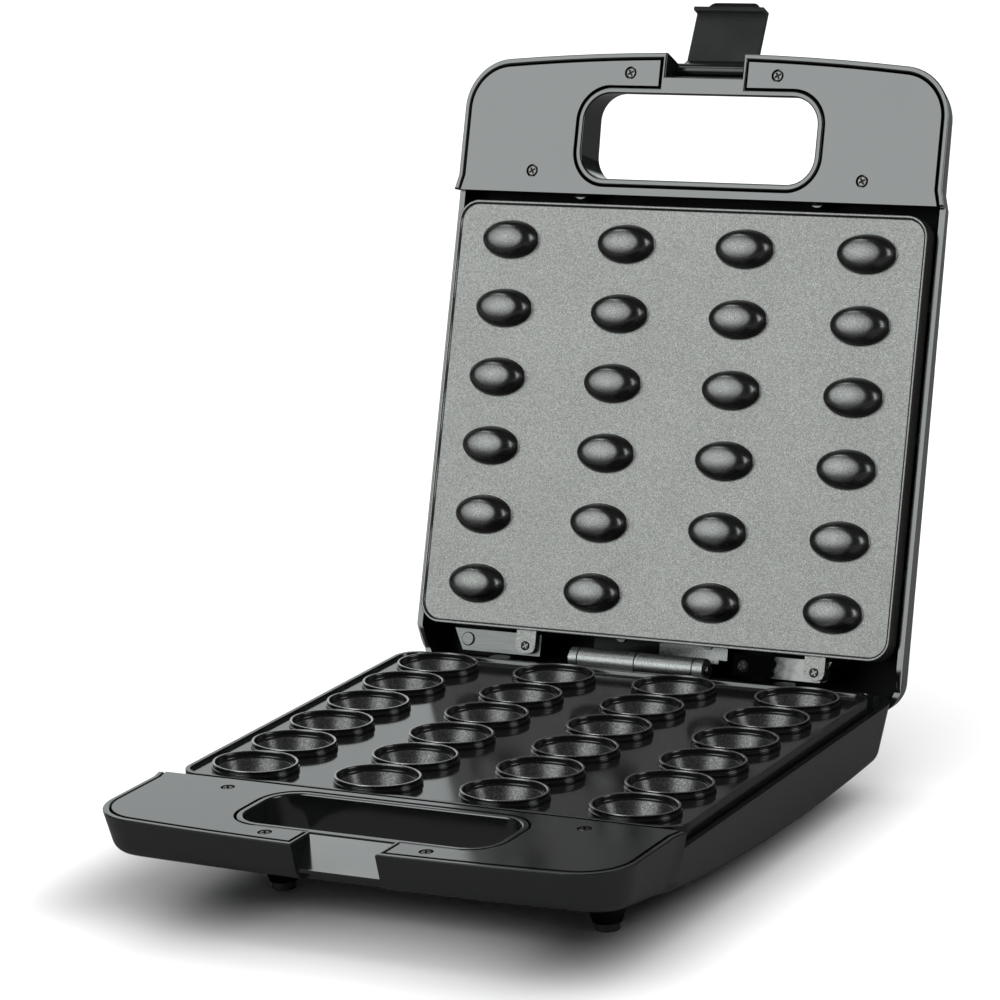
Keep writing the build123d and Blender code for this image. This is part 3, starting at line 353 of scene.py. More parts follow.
lid_coating = coating_finish("lid_plate_coating", (0.104, 0.104, 0.10), (0.20, 0.20, 0.191),
                             0.30, 0.36, 0.30, 0.9)
dome_coating = coating_finish("dome_coating", (0.105, 0.105, 0.102), (0.16, 0.16, 0.156),
                              0.24, 0.30, 0.35, 0.97)
# Painted highlight: a lighter grey for the thin bright line round each dome's foot.
dome_foot_highlight = coating_finish("dome_foot_painted_highlight", (0.20, 0.20, 0.196), (0.34, 0.34, 0.33),
                           0.30, 0.36, 0.4, 0.9)
base_coating = coating_finish("base_plate_coating", grey(0.004), grey(0.010), 0.14, 0.19, 0.7, 0.0, 1.6)
face_coating = coating_finish("base_face_coating", grey(0.004), grey(0.012), 0.09, 0.13, 0.7, 0.0, 1.7)
# Painted highlight: a lighter grey for the thin bright lines on the mould rims.
mould_lip_highlight = coating_finish("mould_lip_painted_highlight", (0.22, 0.22, 0.215), (0.36, 0.36, 0.35),
                          0.18, 0.26, 0.5, 0.9)
lip_coating = coating_finish("lip_coating", (0.10, 0.10, 0.098), (0.16, 0.16, 0.157),
                             0.20, 0.26, 0.5, 0.9)
bowl_coating = coating_finish("bowl_coating", (0.05, 0.05, 0.049), (0.15, 0.15, 0.147),
                              0.26, 0.32, 0.45, 0.8)
print("finishes so far:", len(bpy.data.materials))

# %% [markdown]
# ### Metals
# The hinge is zinc-coated steel with a fine grain. The screws are blackened, apart from the grey heads in
# the handle covers, and the same black paints shade in the crosses and round the heads of those grey ones,
# on the rivet's side and on the screw by the right bracket. The reflector sheets are bright aluminium, and
# the heating tubes have gone brown and grey in use.

# %% Metals
ROLLED_ALONG_X, ROLLED_ALONG_Y = (90.0, 1300.0, 1300.0), (1300.0, 60.0, 1300.0)


def metal_finish(name, dark, light, smooth, rough, stretch):
    """stretch: how fine the grain is along each axis, in grains per metre."""
    material, tree, shader = new_finish(name, light, rough, 1.0)
    grain = effect(tree, rolled_grain, {"Stretch": stretch})
    tint(tree, shader, grain.outputs["Streaks"], dark, light)
    tree.links.new(spread(tree, grain.outputs["Streaks"], smooth, rough), shader.inputs["Roughness"])
    relief(tree, shader, grain.outputs["Height"], 0.3, 0.00002)
    return material


zinc_steel = metal_finish("zinc_coated_steel", (0.09, 0.093, 0.092), (0.17, 0.175, 0.173),
                          0.34, 0.46, ROLLED_ALONG_X)
tube_zinc = metal_finish("grainy_hinge_steel", (0.15, 0.153, 0.15), (0.42, 0.425, 0.42),
                         0.36, 0.48, (1500.0, 1500.0, 1500.0))
dark_steel = metal_finish("blackened_steel", grey(0.006), grey(0.016), 0.34, 0.46, ROLLED_ALONG_X)
screw_steel = metal_finish("screw_steel", (0.10, 0.095, 0.09), (0.22, 0.21, 0.20),
                           0.30, 0.42, (700.0, 700.0, 700.0))
# Blackened steel, which also paints shade in screw crosses, round screw heads and on the rivet's side.
black_steel_and_painted_shade = metal_finish("blackened_screw_steel_and_painted_shade", grey(0.004), grey(0.03),
                           0.28, 0.42, (700.0, 700.0, 700.0))
sheet_aluminium = metal_finish("rolled_aluminium", (0.62, 0.63, 0.64), grey(0.80),
                               0.22, 0.36, ROLLED_ALONG_Y)
tube_steel = metal_finish("heated_tube_steel", (0.16, 0.13, 0.11), (0.34, 0.31, 0.28),
                          0.35, 0.55, (500.0, 500.0, 500.0))
print("finishes so far:", len(bpy.data.materials))

# %% [markdown]
# ### A strip with painted shade
# The right one of the two strips behind the lid plate's lugs is bright round its screw and dark towards
# the hinge, where shade falls on it. A second piece could carry the dark part, but a value that runs from
# dark to bright across the strip, made ragged by noise, paints that shade with a soft, uneven edge.

# %% Steel with painted shade away from its screw
RAGGED = 0.012


def shaded_strip_steel(name, full_shade, fully_lit):
    """The first two arguments are the places across, in m, where the painted shade is full and where it
    ends.
    """
    material, tree, shader = new_finish(name, grey(0.15), 0.4, 1.0)
    here = add_node(tree, "ShaderNodeTexCoord").outputs["Object"]
    across = add_node(tree, "ShaderNodeSeparateXYZ", {0: here})
    blotches = add_node(tree, "ShaderNodeTexNoise", {"Vector": here, "Scale": 260.0, "Detail": 4.0})
    shift = add_node(tree, "ShaderNodeMath", {0: blotches.outputs[0], 1: RAGGED}, operation="MULTIPLY")
    place = add_node(tree, "ShaderNodeMath", {0: across.outputs["X"], 1: shift.outputs[0]},
                     operation="ADD")
    share = add_node(tree, "ShaderNodeMapRange", {
        "Value": place.outputs[0], "From Min": full_shade + RAGGED / 2, "From Max": fully_lit + RAGGED / 2})
    # Painted shade: near black where shade falls on the strip, steel grey where it is lit.
    tint(tree, shader, share.outputs[0], grey(0.0008), (0.20, 0.20, 0.198))
    relief(tree, shader, blotches.outputs[0], 0.4, 0.0001)
    return material


# The right bracket's steel, with painted shade towards the hinge.
shaded_bracket_steel = shaded_strip_steel("bracket_steel_painted_shade", 0.062, 0.074)

# %% [markdown]
# ### Lenses and lamps
# Two lenses in the lid's outside glow faintly, since light enters the coloured plastic.

# %% Lenses
def lens_finish(name, colour):
    material, tree, shader = new_finish(name, colour, 0.12, 0.0, Transmission_Weight=0.35, IOR=1.49)
    skin = effect(tree, moulded_skin)
    tint(tree, shader, skin.outputs["Haze"], colour, tuple(0.7 * c for c in colour))
    relief(tree, shader, skin.outputs["Height"], 0.2, 0.00001)
    return material


red_lens = lens_finish("red_lens", (0.55, 0.02, 0.015))
green_lens = lens_finish("green_lens", (0.03, 0.42, 0.08))
lamp_glass = lens_finish("lamp_glass", (0.75, 0.72, 0.66))
print("finishes:", len(bpy.data.materials))

# %% [markdown]
# ## Rounded copies of the CAD solids
# A CAD solid has perfectly sharp edges, and a real moulding never does: its edges are rounded by half a
# millimetre and catch a thin line of light. A copy of the solid is merged, its flat faces are joined
# again, and a bevel rounds the sharp edges. The CAD node is then hidden behind its copy. A Bevel modifier
# on the node itself would not work, because its triangles are loose.

# %% Shading that keeps large faces flat
def smooth_flats(piece, sharp):
    """Smooth shading that bends only over the narrow bevels, so a large flat face mirrors evenly."""
    pick(piece)
    bpy.ops.object.shade_smooth_by_angle(angle=math.radians(sharp))
    apply_modifier(piece, "flat faces first", "WEIGHTED_NORMAL", keep_sharp=True, weight=100)


# %% Draft of the finger opening
GRIP_STRAIGHT, GRIP_CORNER_ROW, GRIP_CORNER = 46.0, -249.2, 13.0
GRIP_DRAFT, DRAFTED_BELOW = 2.6, -8.0


def draft_grip(piece, place):
    """Draws the far wall of the finger opening outward at its back, as the tool's draft does."""
    level_of = place.inverted()

    def on_far_wall(corner):
        at = level_of @ corner.co / MM
        across = max(abs(at.x) - GRIP_STRAIGHT, 0)
        from_middle = math.hypot(across, at.y - GRIP_CORNER_ROW)
        return (at.z < DRAFTED_BELOW and at.y < GRIP_CORNER_ROW + 0.1
                and abs(from_middle - GRIP_CORNER) < 0.15)

    mark(piece, "EDGE", lambda edge, middle: all(on_far_wall(v) for v in edge.verts))
    bpy.ops.transform.translate(value=place.to_3x3() @ Vector((0, -GRIP_DRAFT * MM, 0)))


# %% Joint round the handle covers
SHARP = 35
COVER_LEVEL, JOINT_ROUNDING, SCREW_ROOM = -1.3, 0.9, 4.0
COVER_TOPS = [(side * x, y, -1.4) for x, y in ((83.5, -225.0), (37.2, -272.0)) for side in (-1, 1)]


def widen_joint(piece, place):
    """Rounds the edges level with the covers more fully, apart from those near the screws."""
    level_of = place.inverted()

    def along_joint(edge, middle):
        return (edge.calc_face_angle(0) > math.radians(SHARP)
                and all(abs((level_of @ v.co).z - COVER_LEVEL * MM) < 0.02 * MM for v in edge.verts)
                and all(((level_of @ middle) / MM - Vector(top)).xy.length > SCREW_ROOM
                        for top in COVER_TOPS))

    mark(piece, "EDGE", along_joint)
    bpy.ops.mesh.bevel(offset=JOINT_ROUNDING * MM, segments=3, affect="EDGES", clamp_overlap=True)


# %% Rounded copy
MERGED_WITHIN, FLAT_WITHIN = 0.002, 0.4


def rounded_copy(node, width, finish, place=None):
    """place: where the half lies, for a moulding whose grip is drafted and whose joint is widened."""
    piece = copy_of(frame["nodes"][node])
    piece.name = node + "_rounded"
    for key in [k for k in piece.keys() if k.startswith("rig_")]:
        del piece[key]
    piece.parent = None
    piece.matrix_world = Matrix.Identity(4)
    pick(piece)
    bpy.ops.object.mode_set(mode="EDIT")
    bpy.ops.mesh.select_all(action="SELECT")
    bpy.ops.mesh.remove_doubles(threshold=MERGED_WITHIN * MM)
    bpy.ops.mesh.customdata_custom_splitnormals_clear()
    bpy.ops.mesh.dissolve_limited(angle_limit=math.radians(FLAT_WITHIN))
    if place is not None:
        draft_grip(piece, place)
        widen_joint(piece, place)
    bpy.ops.object.mode_set(mode="OBJECT")
    round_edges(piece, width, SHARP)
    smooth_flats(piece, SHARP)
    dress(piece, finish)
    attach(piece, body_named[node])
    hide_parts(node)
    return piece


# %% Giving a piece its finishes
def dress(piece, finish):
    piece.data.materials.clear()
    piece.data.materials.append(finish)


def also_finish(piece, finish, test):
    """Gives another finish to the faces whose centre, in mm, and normal pass the test."""
    piece.data.materials.append(finish)
    for face in piece.data.polygons:
        if test(face.center / MM, face.normal):
            face.material_index = len(piece.data.materials) - 1


# %% The body that each node belongs to
groups = frame["record"]["behaviour"]["bodies"]
body_named = {node: body for body, members in groups.items() for node in members}
print("bodies:", ", ".join(groups))

# %% [markdown]
# ## The mouldings
# There are two shells and two handle covers. A cover gets painted shade wherever it turns away from its
# face, which draws the joint round it, and the lid's tray gets painted shade in its depth, where the
# studio's light hardly comes.

# %% Round the mouldings
TRAY_DEPTH = -16.0
for node, width, place in (("base_shell", 0.5, BASE_PLACE), ("lid_shell", 0.5, LID_PLACE),
                           ("base_handle_cover", 0.35, BASE_PLACE),
                           ("lid_handle_cover", 0.35, LID_PLACE)):
    piece = rounded_copy(node, width, gloss_black, place)
    face_up, level_of = face_direction(place), place.inverted()
    if node.endswith("cover"):
        # Painted shade on the cover's sides and rounded edges, which draws the joint round it.
        also_finish(piece, painted_shade_black, lambda at, normal: normal.dot(face_up) < 0.98)
    if node == "lid_shell":
        # Painted shade on the floor of the lid's deep tray.
        also_finish(piece, painted_shade_black, lambda at, normal: normal.dot(face_up) > 0.2
                    and (level_of @ (at * MM)).z < TRAY_DEPTH * MM)
    print(piece.name, "has", len(piece.data.polygons), "faces")

# %% [markdown]
# ## Latch, hinge and small metal parts
# The hinge's leaves are stamped steel rolled into tubes, and the lid's leaf is black beside its wide tube.
# A bisect puts an edge where the tube ends, so the black begins on a clean line. The rivet keeps a bright
# head, and its side is painted dark as shade.

# %% A leaf that is blackened beside its wide tube
WIDE_TUBE_END, TUBE_REACH = -2.5, 6.0


def blacken_leaf(leaf):
    pick(leaf)
    bpy.ops.object.mode_set(mode="EDIT")
    bpy.ops.mesh.select_all(action="SELECT")
    bpy.ops.mesh.bisect(plane_co=(WIDE_TUBE_END * MM, 0, 0), plane_no=(1, 0, 0))
    bpy.ops.object.mode_set(mode="OBJECT")
    also_finish(leaf, dark_steel, lambda at, normal: at.x < WIDE_TUBE_END
                and (at - HINGE / MM).yz.length > TUBE_REACH)


# %% Round the latch, the hinge and the small metal parts
rounded = {}
for node, width, finish, slot in (
        ("latch_clip", 0.4, satin_black, "black_satin_plastic"),
        ("base_hinge_leaf", 0.8, tube_zinc, "zinc_steel"),
        ("lid_hinge_leaf", 0.8, tube_zinc, "zinc_steel"),
        ("lid_bracket_left", 0.2, zinc_steel, "zinc_steel"),
        ("lid_bracket_right", 0.2, shaded_bracket_steel, "zinc_steel"),
        ("lid_bracket_rivet", 0.5, zinc_steel, "zinc_steel"),
        ("cord_gland", 0.4, satin_black, "black_satin_plastic"),
        ("foot_pads", 0.4, foot_rubber, "foot_rubber")):
    rounded[node] = rounded_copy(node, width, finish)
blacken_leaf(rounded["lid_hinge_leaf"])
lid_looks = face_direction(LID_PLACE)
# Painted shade on the rivet's side.
also_finish(rounded["lid_bracket_rivet"], black_steel_and_painted_shade,
            lambda at, normal: abs(normal.dot(lid_looks)) < 0.96)
print("rounded:", ", ".join(rounded))

# %% [markdown]
# ## Hidden parts
# The parts inside the halves, the two pins and the lenses keep their CAD shape, because they are covered
# or nearly flush, and only their colour shows.

# %% Finishes of the hidden parts
hidden_parts = (
    ("hinge_pin", zinc_steel), ("latch_pin", zinc_steel), ("base_leaf_screws", zinc_steel),
    ("lid_leaf_screws", zinc_steel), ("base_element", tube_steel), ("lid_element", tube_steel),
    ("base_reflector_sheet", sheet_aluminium), ("lid_reflector_sheet", sheet_aluminium),
    ("base_reflector_screws", zinc_steel), ("lid_reflector_screws", zinc_steel),
    ("base_thermostat", fired_ceramic), ("lid_thermal_cutout", fired_ceramic),
    ("base_thermal_fuse", fired_ceramic), ("terminal_block", fired_ceramic),
    ("power_lens", red_lens), ("ready_lens", green_lens), ("indicator_lamps", lamp_glass))
for node, finish in hidden_parts:
    dress(frame["nodes"][node], finish)
print("CAD pieces with a finish of their own:", len(hidden_parts))

# %% [markdown]
# ## One mould
# A mould is an oval cup: a ring with a soft bead at its foot, a rounded rim, a step inside and a bowl.
# It could be spun as a circle and squashed, but a wall would then be thinner along one axis. Here an
# oval loop is extruded level by level, each level with its own two half axes, like throwing a pot.

# %% Building an oval body level by level
ROUND_STEPS = 64


def oval_body(name, levels):
    """levels: half length, half width and height of each loop in mm, from the underside up and over."""
    (long_axis, short_axis, height), *rest = levels
    bpy.ops.mesh.primitive_circle_add(vertices=ROUND_STEPS, radius=MM, fill_type="NGON")
    body = bpy.context.object
    body.name = name
    bpy.ops.object.mode_set(mode="EDIT")
    bpy.ops.mesh.select_all(action="SELECT")
    bpy.ops.transform.resize(value=(long_axis, short_axis, 1))
    bpy.ops.transform.translate(value=(0, 0, height * MM))
    mark(body, "EDGE", lambda edge, middle: True)
    now = (long_axis, short_axis, height)
    for level in rest:
        rise = (level[2] - now[2]) * MM
        bpy.ops.mesh.extrude_edges_move(TRANSFORM_OT_translate={"value": (0, 0, rise)})
        bpy.ops.transform.resize(value=(level[0] / now[0], level[1] / now[1], 1),
                                 center_override=(0, 0, level[2] * MM))
        now = level
    bpy.ops.mesh.edge_face_add()
    bpy.ops.mesh.select_all(action="SELECT")
    bpy.ops.mesh.normals_make_consistent(inside=False)
    bpy.ops.object.mode_set(mode="OBJECT")
    return body


# %% The mould
NECK_LONG, NECK_SHORT = 19.2, 15.2
BOWL_LONG, BOWL_SHORT = 16.6, 12.7
MOULD_LEVELS = [
    # the underside, inside the base
    (6.5, 4.4, -17.2), (12.4, 9.0, -15.6), (16.8, 12.9, -11.5), (18.9, 14.9, -7.5),
    (19.5, 15.5, -5.2), (19.6, 15.6, -4.2),
    # the bead at the foot and the neck over it
    (19.85, 15.8, -3.6), (19.9, 15.85, -2.9), (19.75, 15.75, -2.45), (19.3, 15.3, -2.2),
    (NECK_LONG, NECK_SHORT, -1.9), (NECK_LONG, NECK_SHORT, -1.2), (19.4, 15.4, -0.85),
    # the rounded rim
    (19.4, 15.4, -0.55), (NECK_LONG, NECK_SHORT, -0.36), (18.8, 14.85, -0.3),
    (18.45, 14.55, -0.38), (18.2, 14.35, -0.6),
    # the inner wall and the step
    (18.0, 14.2, -1.0), (17.95, 14.15, -2.5), (17.8, 13.95, -2.8), (17.5, 13.6, -2.95),
    (16.9, 13.0, -3.0), (BOWL_LONG, BOWL_SHORT, -3.1), (16.35, 12.45, -3.4),
    # the bowl
    (16.05, 12.2, -4.2), (15.5, 11.7, -5.4), (14.85, 11.05, -6.9), (14.0, 10.3, -8.4),
    (12.9, 9.35, -9.9), (11.4, 8.1, -11.4), (9.4, 6.6, -12.8), (6.9, 4.7, -14.0),
    (4.0, 2.7, -14.55), (1.4, 0.95, -14.7)]
mould = oval_body("one_mould", MOULD_LEVELS)
dress(mould, base_coating)
also_finish(mould, bowl_coating, lambda at, normal: normal.z > 0.05 and at.z < -3.2
            and (at.x / BOWL_LONG) ** 2 + (at.y / BOWL_SHORT) ** 2 < 1)
# Painted highlight on the tops of the rim.
also_finish(mould, mould_lip_highlight, lambda at, normal: normal.z > 0.25 and at.z > -0.7)
print("one mould has", len(mould.data.polygons), "faces")

# %% [markdown]
# ## One dome
# A dome of the lid plate presses the hollow into a half shell. It rises from a thin edge with a painted
# highlight, has steep flanks and a broad low crown, so its middle mirrors the soft box while its flanks
# stay dark. A squashed ball would do as a start, but its crown is too narrow for the broad highlight of
# the real one.

# %% The dome
DOME_LONG, DOME_SHORT = 14.15, 8.85
FLANK_STEPS, FLANK_TURN, FLANK_FOOT, FLANK_HEIGHT, CROWN_SHARE = 8, 80.6, 0.35, 7.27, 0.546
CROWN_HEIGHT, CROWN_DROP = 8.0, 2.15
DOME_LEVELS = [(14.6, 9.3, -3.0), (14.9, 9.6, -0.02), (14.35, 9.05, 0.12)]
for step in range(FLANK_STEPS + 1):
    turn = math.radians(90 - FLANK_TURN * step / FLANK_STEPS)
    share = CROWN_SHARE + (1 - CROWN_SHARE) * math.sin(turn)
    height = FLANK_HEIGHT * math.cos(turn) if step else FLANK_FOOT
    DOME_LEVELS.append((DOME_LONG * share, DOME_SHORT * share, height))
for share in (0.55, 0.47, 0.38, 0.28, 0.17, 0.06):
    DOME_LEVELS.append((DOME_LONG * share, DOME_SHORT * share, CROWN_HEIGHT - CROWN_DROP * share ** 2))
dome = oval_body("one_dome", DOME_LEVELS)
dress(dome, dome_coating)
# Painted highlight on the foot of the dome.
also_finish(dome, dome_foot_highlight, lambda at, normal: at.z < 0.1)
print("one dome has", len(dome.data.polygons), "faces")

# %% [markdown]
# ## Plate slabs
# A slab starts as a block at its size, its corners are rounded by a bevel, and its rim is made by an
# inset of the face, whose inside is then pushed down.

# %% Slab with a rim
PLATE_WIDTH, PLATE_LENGTH, PLATE_CORNER, RIM_SLOPE = 237, 199.4, 10.0, 0.5
REAR_EDGE = -10.6
PLATE_MIDDLE = REAR_EDGE - PLATE_LENGTH / 2


def is_upright(edge):
    return abs(edge.verts[0].co.z - edge.verts[1].co.z) > MM


def plate_slab(name, face, rim, rim_width, underside):
    """face, rim and underside: levels in mm, as if the plate lay face up."""
    bpy.ops.mesh.primitive_cube_add(
        size=MM, location=(0, PLATE_MIDDLE * MM, (rim + underside) / 2 * MM),
        scale=(PLATE_WIDTH, PLATE_LENGTH, rim - underside))
    slab = bpy.context.object
    slab.name = name
    settle(slab)
    bpy.ops.object.mode_set(mode="EDIT")
    mark(slab, "EDGE", lambda edge, centre: is_upright(edge))
    bpy.ops.mesh.bevel(offset=PLATE_CORNER * MM, segments=10, affect="EDGES")
    mark(slab, "FACE", lambda side, centre: side.normal.z > 0.9)
    bpy.ops.mesh.inset(thickness=rim_width * MM)
    bpy.ops.mesh.inset(thickness=RIM_SLOPE * MM, depth=(face - rim) * MM)
    bpy.ops.object.mode_set(mode="OBJECT")
    return slab


# %% Ear at the rear edge of a slab
LUG_WIDTH, LUG_ROUNDING, LUG_OVERLAP = 10.0, 3.0, 2.0
LUG_LENGTH = LUG_OVERLAP - REAR_EDGE


def lug(slab, place, level, underside):
    """A rounded ear where a screw goes, from inside the slab to the line of the hinge."""
    bpy.ops.mesh.primitive_cube_add(
        size=MM, location=(place * MM, -LUG_LENGTH / 2 * MM, (level + underside) / 2 * MM),
        scale=(LUG_WIDTH, LUG_LENGTH, level - underside))
    ear = bpy.context.object
    settle(ear)
    bpy.ops.object.mode_set(mode="EDIT")
    mark(ear, "EDGE", lambda edge, centre: centre.y > -MM and is_upright(edge))
    bpy.ops.mesh.bevel(offset=LUG_ROUNDING * MM, segments=2, affect="EDGES")
    bpy.ops.object.mode_set(mode="OBJECT")
    dress(ear, slab.data.materials[0])
    return ear


# %% [markdown]
# ## The pattern of 24
# Four columns 60 mm apart and six rows 32.3 mm apart. The one mould or dome is copied to each place, and
# each copy has its own mesh.

# %% Copies in the pattern
COLUMNS = (-90, -30, 30, 90)
FIRST_ROW, ROW_PITCH, ROWS = -30.5, 32.3, 6
PATTERN = [(x, FIRST_ROW - ROW_PITCH * row) for x in COLUMNS for row in range(ROWS)]


def pattern_of(one):
    copies = [copy_of(one, (x, y, 0)) for x, y in PATTERN]
    bpy.data.objects.remove(one)
    return copies


# %% Openings for the moulds
def carve(body, cutter):
    apply_modifier(body, "carving", "BOOLEAN", object=cutter, operation="DIFFERENCE", solver="EXACT")
    bpy.data.objects.remove(cutter)


def cut_ovals(slab, half_length, half_width):
    """Cuts the openings that the moulds sit in."""
    cutters = []
    for x, y in PATTERN:
        bpy.ops.mesh.primitive_cylinder_add(
            vertices=ROUND_STEPS, radius=MM, depth=60 * MM, location=(x * MM, y * MM, 0),
            scale=(half_length, half_width, 1))
        cutters.append(bpy.context.object)
    carve(slab, join_all(cutters[0], cutters[1:]))


# %% [markdown]
# ## The base plate
# The slab's rim keeps batter from running off. Each mould stands in an opening of the slab, and the two
# meet under the mould's foot.

# %% Base plate
BASE_FACE, BASE_RIM, BASE_UNDERSIDE = -4.0, -2.4, -12.0
BASE_LUGS = (-72, 72)
PLATE_ROUNDING, PLATE_SHARP = 0.35, 40
CASTING_SHARP = 32
base_casting = plate_slab("base_plate_casting", BASE_FACE, BASE_RIM, 2.0, BASE_UNDERSIDE)
cut_ovals(base_casting, NECK_LONG, NECK_SHORT)
round_edges(base_casting, PLATE_ROUNDING, PLATE_SHARP)
dress(base_casting, base_coating)
also_finish(base_casting, face_coating,
            lambda at, normal: normal.z > 0.9 and abs(at.z - BASE_FACE) < 0.2)
base_ears = [lug(base_casting, place, BASE_FACE, BASE_UNDERSIDE) for place in BASE_LUGS]
join_all(base_casting, base_ears + pattern_of(mould))
smooth_flats(base_casting, CASTING_SHARP)
settle(base_casting, BASE_PLACE)
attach(base_casting, "base")
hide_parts("base_plate")
print("base plate:", len(base_casting.data.polygons), "faces")

# %% [markdown]
# ## The lid plate
# It is modelled face up like the base plate and then stood up by the lid's matrix. Its domes are closed
# bodies that reach into the slab, so the slab needs no openings. Its lip has a coating of its own.

# %% Lid plate
LID_FACE, LID_RIM, LID_UNDERSIDE = 0.0, 1.0, -8.0
LID_LUGS, LID_LUG_TOP = (62.5, -83), -1.0
lid_casting = plate_slab("lid_plate_casting", LID_FACE, LID_RIM, 1.2, LID_UNDERSIDE)
round_edges(lid_casting, PLATE_ROUNDING, PLATE_SHARP)
dress(lid_casting, lid_coating)
also_finish(lid_casting, lip_coating, lambda at, normal: at.z > LID_FACE + 0.05)
lid_ears = [lug(lid_casting, place, LID_LUG_TOP, LID_UNDERSIDE) for place in LID_LUGS]
join_all(lid_casting, lid_ears + pattern_of(dome))
smooth_flats(lid_casting, CASTING_SHARP)
settle(lid_casting, LID_PLACE)
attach(lid_casting, "lid")
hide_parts("lid_plate")
print("lid plate:", len(lid_casting.data.polygons), "faces")
print("piece:", [tuple(round(c / MM, 1) for c in lid_casting.matrix_world @ Vector(p))
                 for p in (lid_casting.bound_box[0], lid_casting.bound_box[6])])

# %% [markdown]
# ## Cross-slotted screws
# A screw is turned on a lathe and its cross is pressed in. Here a circle is extruded level by level up the
# shank and over the head, and a boolean presses the cross. The head's top is narrower than its flange, and
# the flange and the cross are painted black as shade, so a dark ring shows in the recess round the head,
# as it does round the real ones.

# %% One screw
SCREW_LEVELS = [(0.5, -10.1), (1.45, -8.9), (1.45, -1.1), (2.6, -1.1), (2.6, -0.8), (2.2, -0.72),
                (2.16, -0.25), (1.95, -0.05), (1.5, 0.0)]
CROSS_LENGTH, CROSS_WIDTH, CROSS_DEPTH, CROSS_TURN = 3.3, 0.95, 0.7, 30
HEAD_SIDE, CROSS_EDGE = 2.17, 1.9


def cross_screw(name, head):
    """The flange and the cross get painted shade in black, whatever finish the head has."""
    screw = oval_body(name, [(radius, radius, height) for radius, height in SCREW_LEVELS])
    for quarter in (0, 90):
        bpy.ops.mesh.primitive_cube_add(size=MM, scale=(CROSS_LENGTH, CROSS_WIDTH, 2 * CROSS_DEPTH),
                                        rotation=(0, 0, math.radians(CROSS_TURN + quarter)))
        carve(screw, bpy.context.object)
    smooth_flats(screw, 30)
    dress(screw, head)
    # Painted shade on the flange and in the cross.
    also_finish(screw, black_steel_and_painted_shade, lambda at, normal: at.xy.length > HEAD_SIDE
                or (at.z < -0.06 and at.xy.length < CROSS_EDGE))
    return screw


# %% Sets of screws in their places
def screw_set(node, place, tops, head):
    """tops: the middle of each screw's top in its half, in mm, as if the half lay face up."""
    first = cross_screw(node + "_turned", head)
    copies = [copy_of(first, top) for top in tops]
    bpy.data.objects.remove(first)
    screws = join_all(copies[0], copies[1:])
    screws.name = node + "_turned"
    settle(screws, place)
    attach(screws, body_named[node])
    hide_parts(node)
    print(screws.name, "has", len(screws.data.polygons), "faces")


REAR_SCREWS, FRONT_SCREWS, FRONT_SCREW_PLACE = -3.4, -217.2, 60.0
screw_set("base_cover_screws", BASE_PLACE, COVER_TOPS, screw_steel)
screw_set("lid_cover_screws", LID_PLACE, COVER_TOPS, screw_steel)
screw_set("base_plate_screws", BASE_PLACE,
          [(x, REAR_SCREWS, -5.8) for x in BASE_LUGS]
          + [(x, FRONT_SCREWS, -5.8) for x in (-FRONT_SCREW_PLACE, FRONT_SCREW_PLACE)], black_steel_and_painted_shade)
screw_set("lid_plate_screws", LID_PLACE,
          [(x, REAR_SCREWS, -0.5) for x in LID_LUGS]
          + [(x, FRONT_SCREWS, -3.8) for x in (FRONT_SCREW_PLACE, -FRONT_SCREW_PLACE)], black_steel_and_painted_shade)
# Painted shade: this screw is black like the shaded part of the right strip round it.
screw_set("lid_bracket_screw", LID_PLACE, [(-47.0, REAR_SCREWS, -2.9)], black_steel_and_painted_shade)

# %% [markdown]
# ## Floor and light
# The photograph was made in a white studio. Black gloss shows whatever stands round it, so the world
# says what each direction looks like, and only reflections see it: a broad soft box at the front left,
# which the open lid mirrors, a small one overhead for the ramp in the notch, two at the right, and white
# paper behind at the left. A sun lamp with a wide angle, from above, lights the floor and the matt
# surfaces and makes the soft shadow. Area lamps would do the same, but their distance would make the
# reflections uneven. The camera sees plain white beyond the floor, and glossy pieces see the floor
# darker than it is, as if it were a table.

# %% Floor
bpy.ops.mesh.primitive_plane_add(size=30)
floor = bpy.context.object
floor.name = "studio_floor"
floor_paper, tree, shader = new_finish("pale_floor_paper", grey(0.86), 0.9)
paper_grain = effect(tree, baked_coating)
tint(tree, shader, paper_grain.outputs["Patches"], grey(0.85), grey(0.87))
ray = add_node(tree, "ShaderNodeLightPath")
table_top = add_node(tree, "ShaderNodeBsdfDiffuse", {"Color": (0.10, 0.10, 0.10, 1)})
either = add_node(tree, "ShaderNodeMixShader", {
    0: ray.outputs["Is Glossy Ray"], 1: shader.outputs[0], 2: table_top.outputs[0]})
tree.links.new(either.outputs[0], tree.nodes["Material Output"].inputs["Surface"])
floor.data.materials.append(floor_paper)
print("floor:", floor.name)

# %% Sky of soft boxes
SKY_COLOUR, DIMMEST, BEYOND_THE_FLOOR = (0.95, 1.0, 0.995, 1), 0.03, 1.05
world = bpy.data.worlds.new("studio")
bpy.context.scene.world = world
world.use_nodes = True
sky = world.node_tree
sky.nodes.clear()
outward = add_node(sky, "ShaderNodeTexCoord").outputs["Generated"]


def soft_box(direction, half_angle, feather, strength):
    """A round soft box in one direction of the sky, with a feathered edge."""
    along = add_node(sky, "ShaderNodeVectorMath", {
        0: outward, 1: Vector(direction).normalized()}, operation="DOT_PRODUCT")
    return add_node(sky, "ShaderNodeMapRange", {
        "Value": along.outputs["Value"], "From Min": math.cos(math.radians(half_angle + feather)),
        "From Max": math.cos(math.radians(half_angle)), "To Min": 0.0, "To Max": strength},
        interpolation_type="SMOOTHSTEP").outputs[0]


def total(first, second):
    return add_node(sky, "ShaderNodeMath", {0: first, 1: second}, operation="ADD").outputs[0]


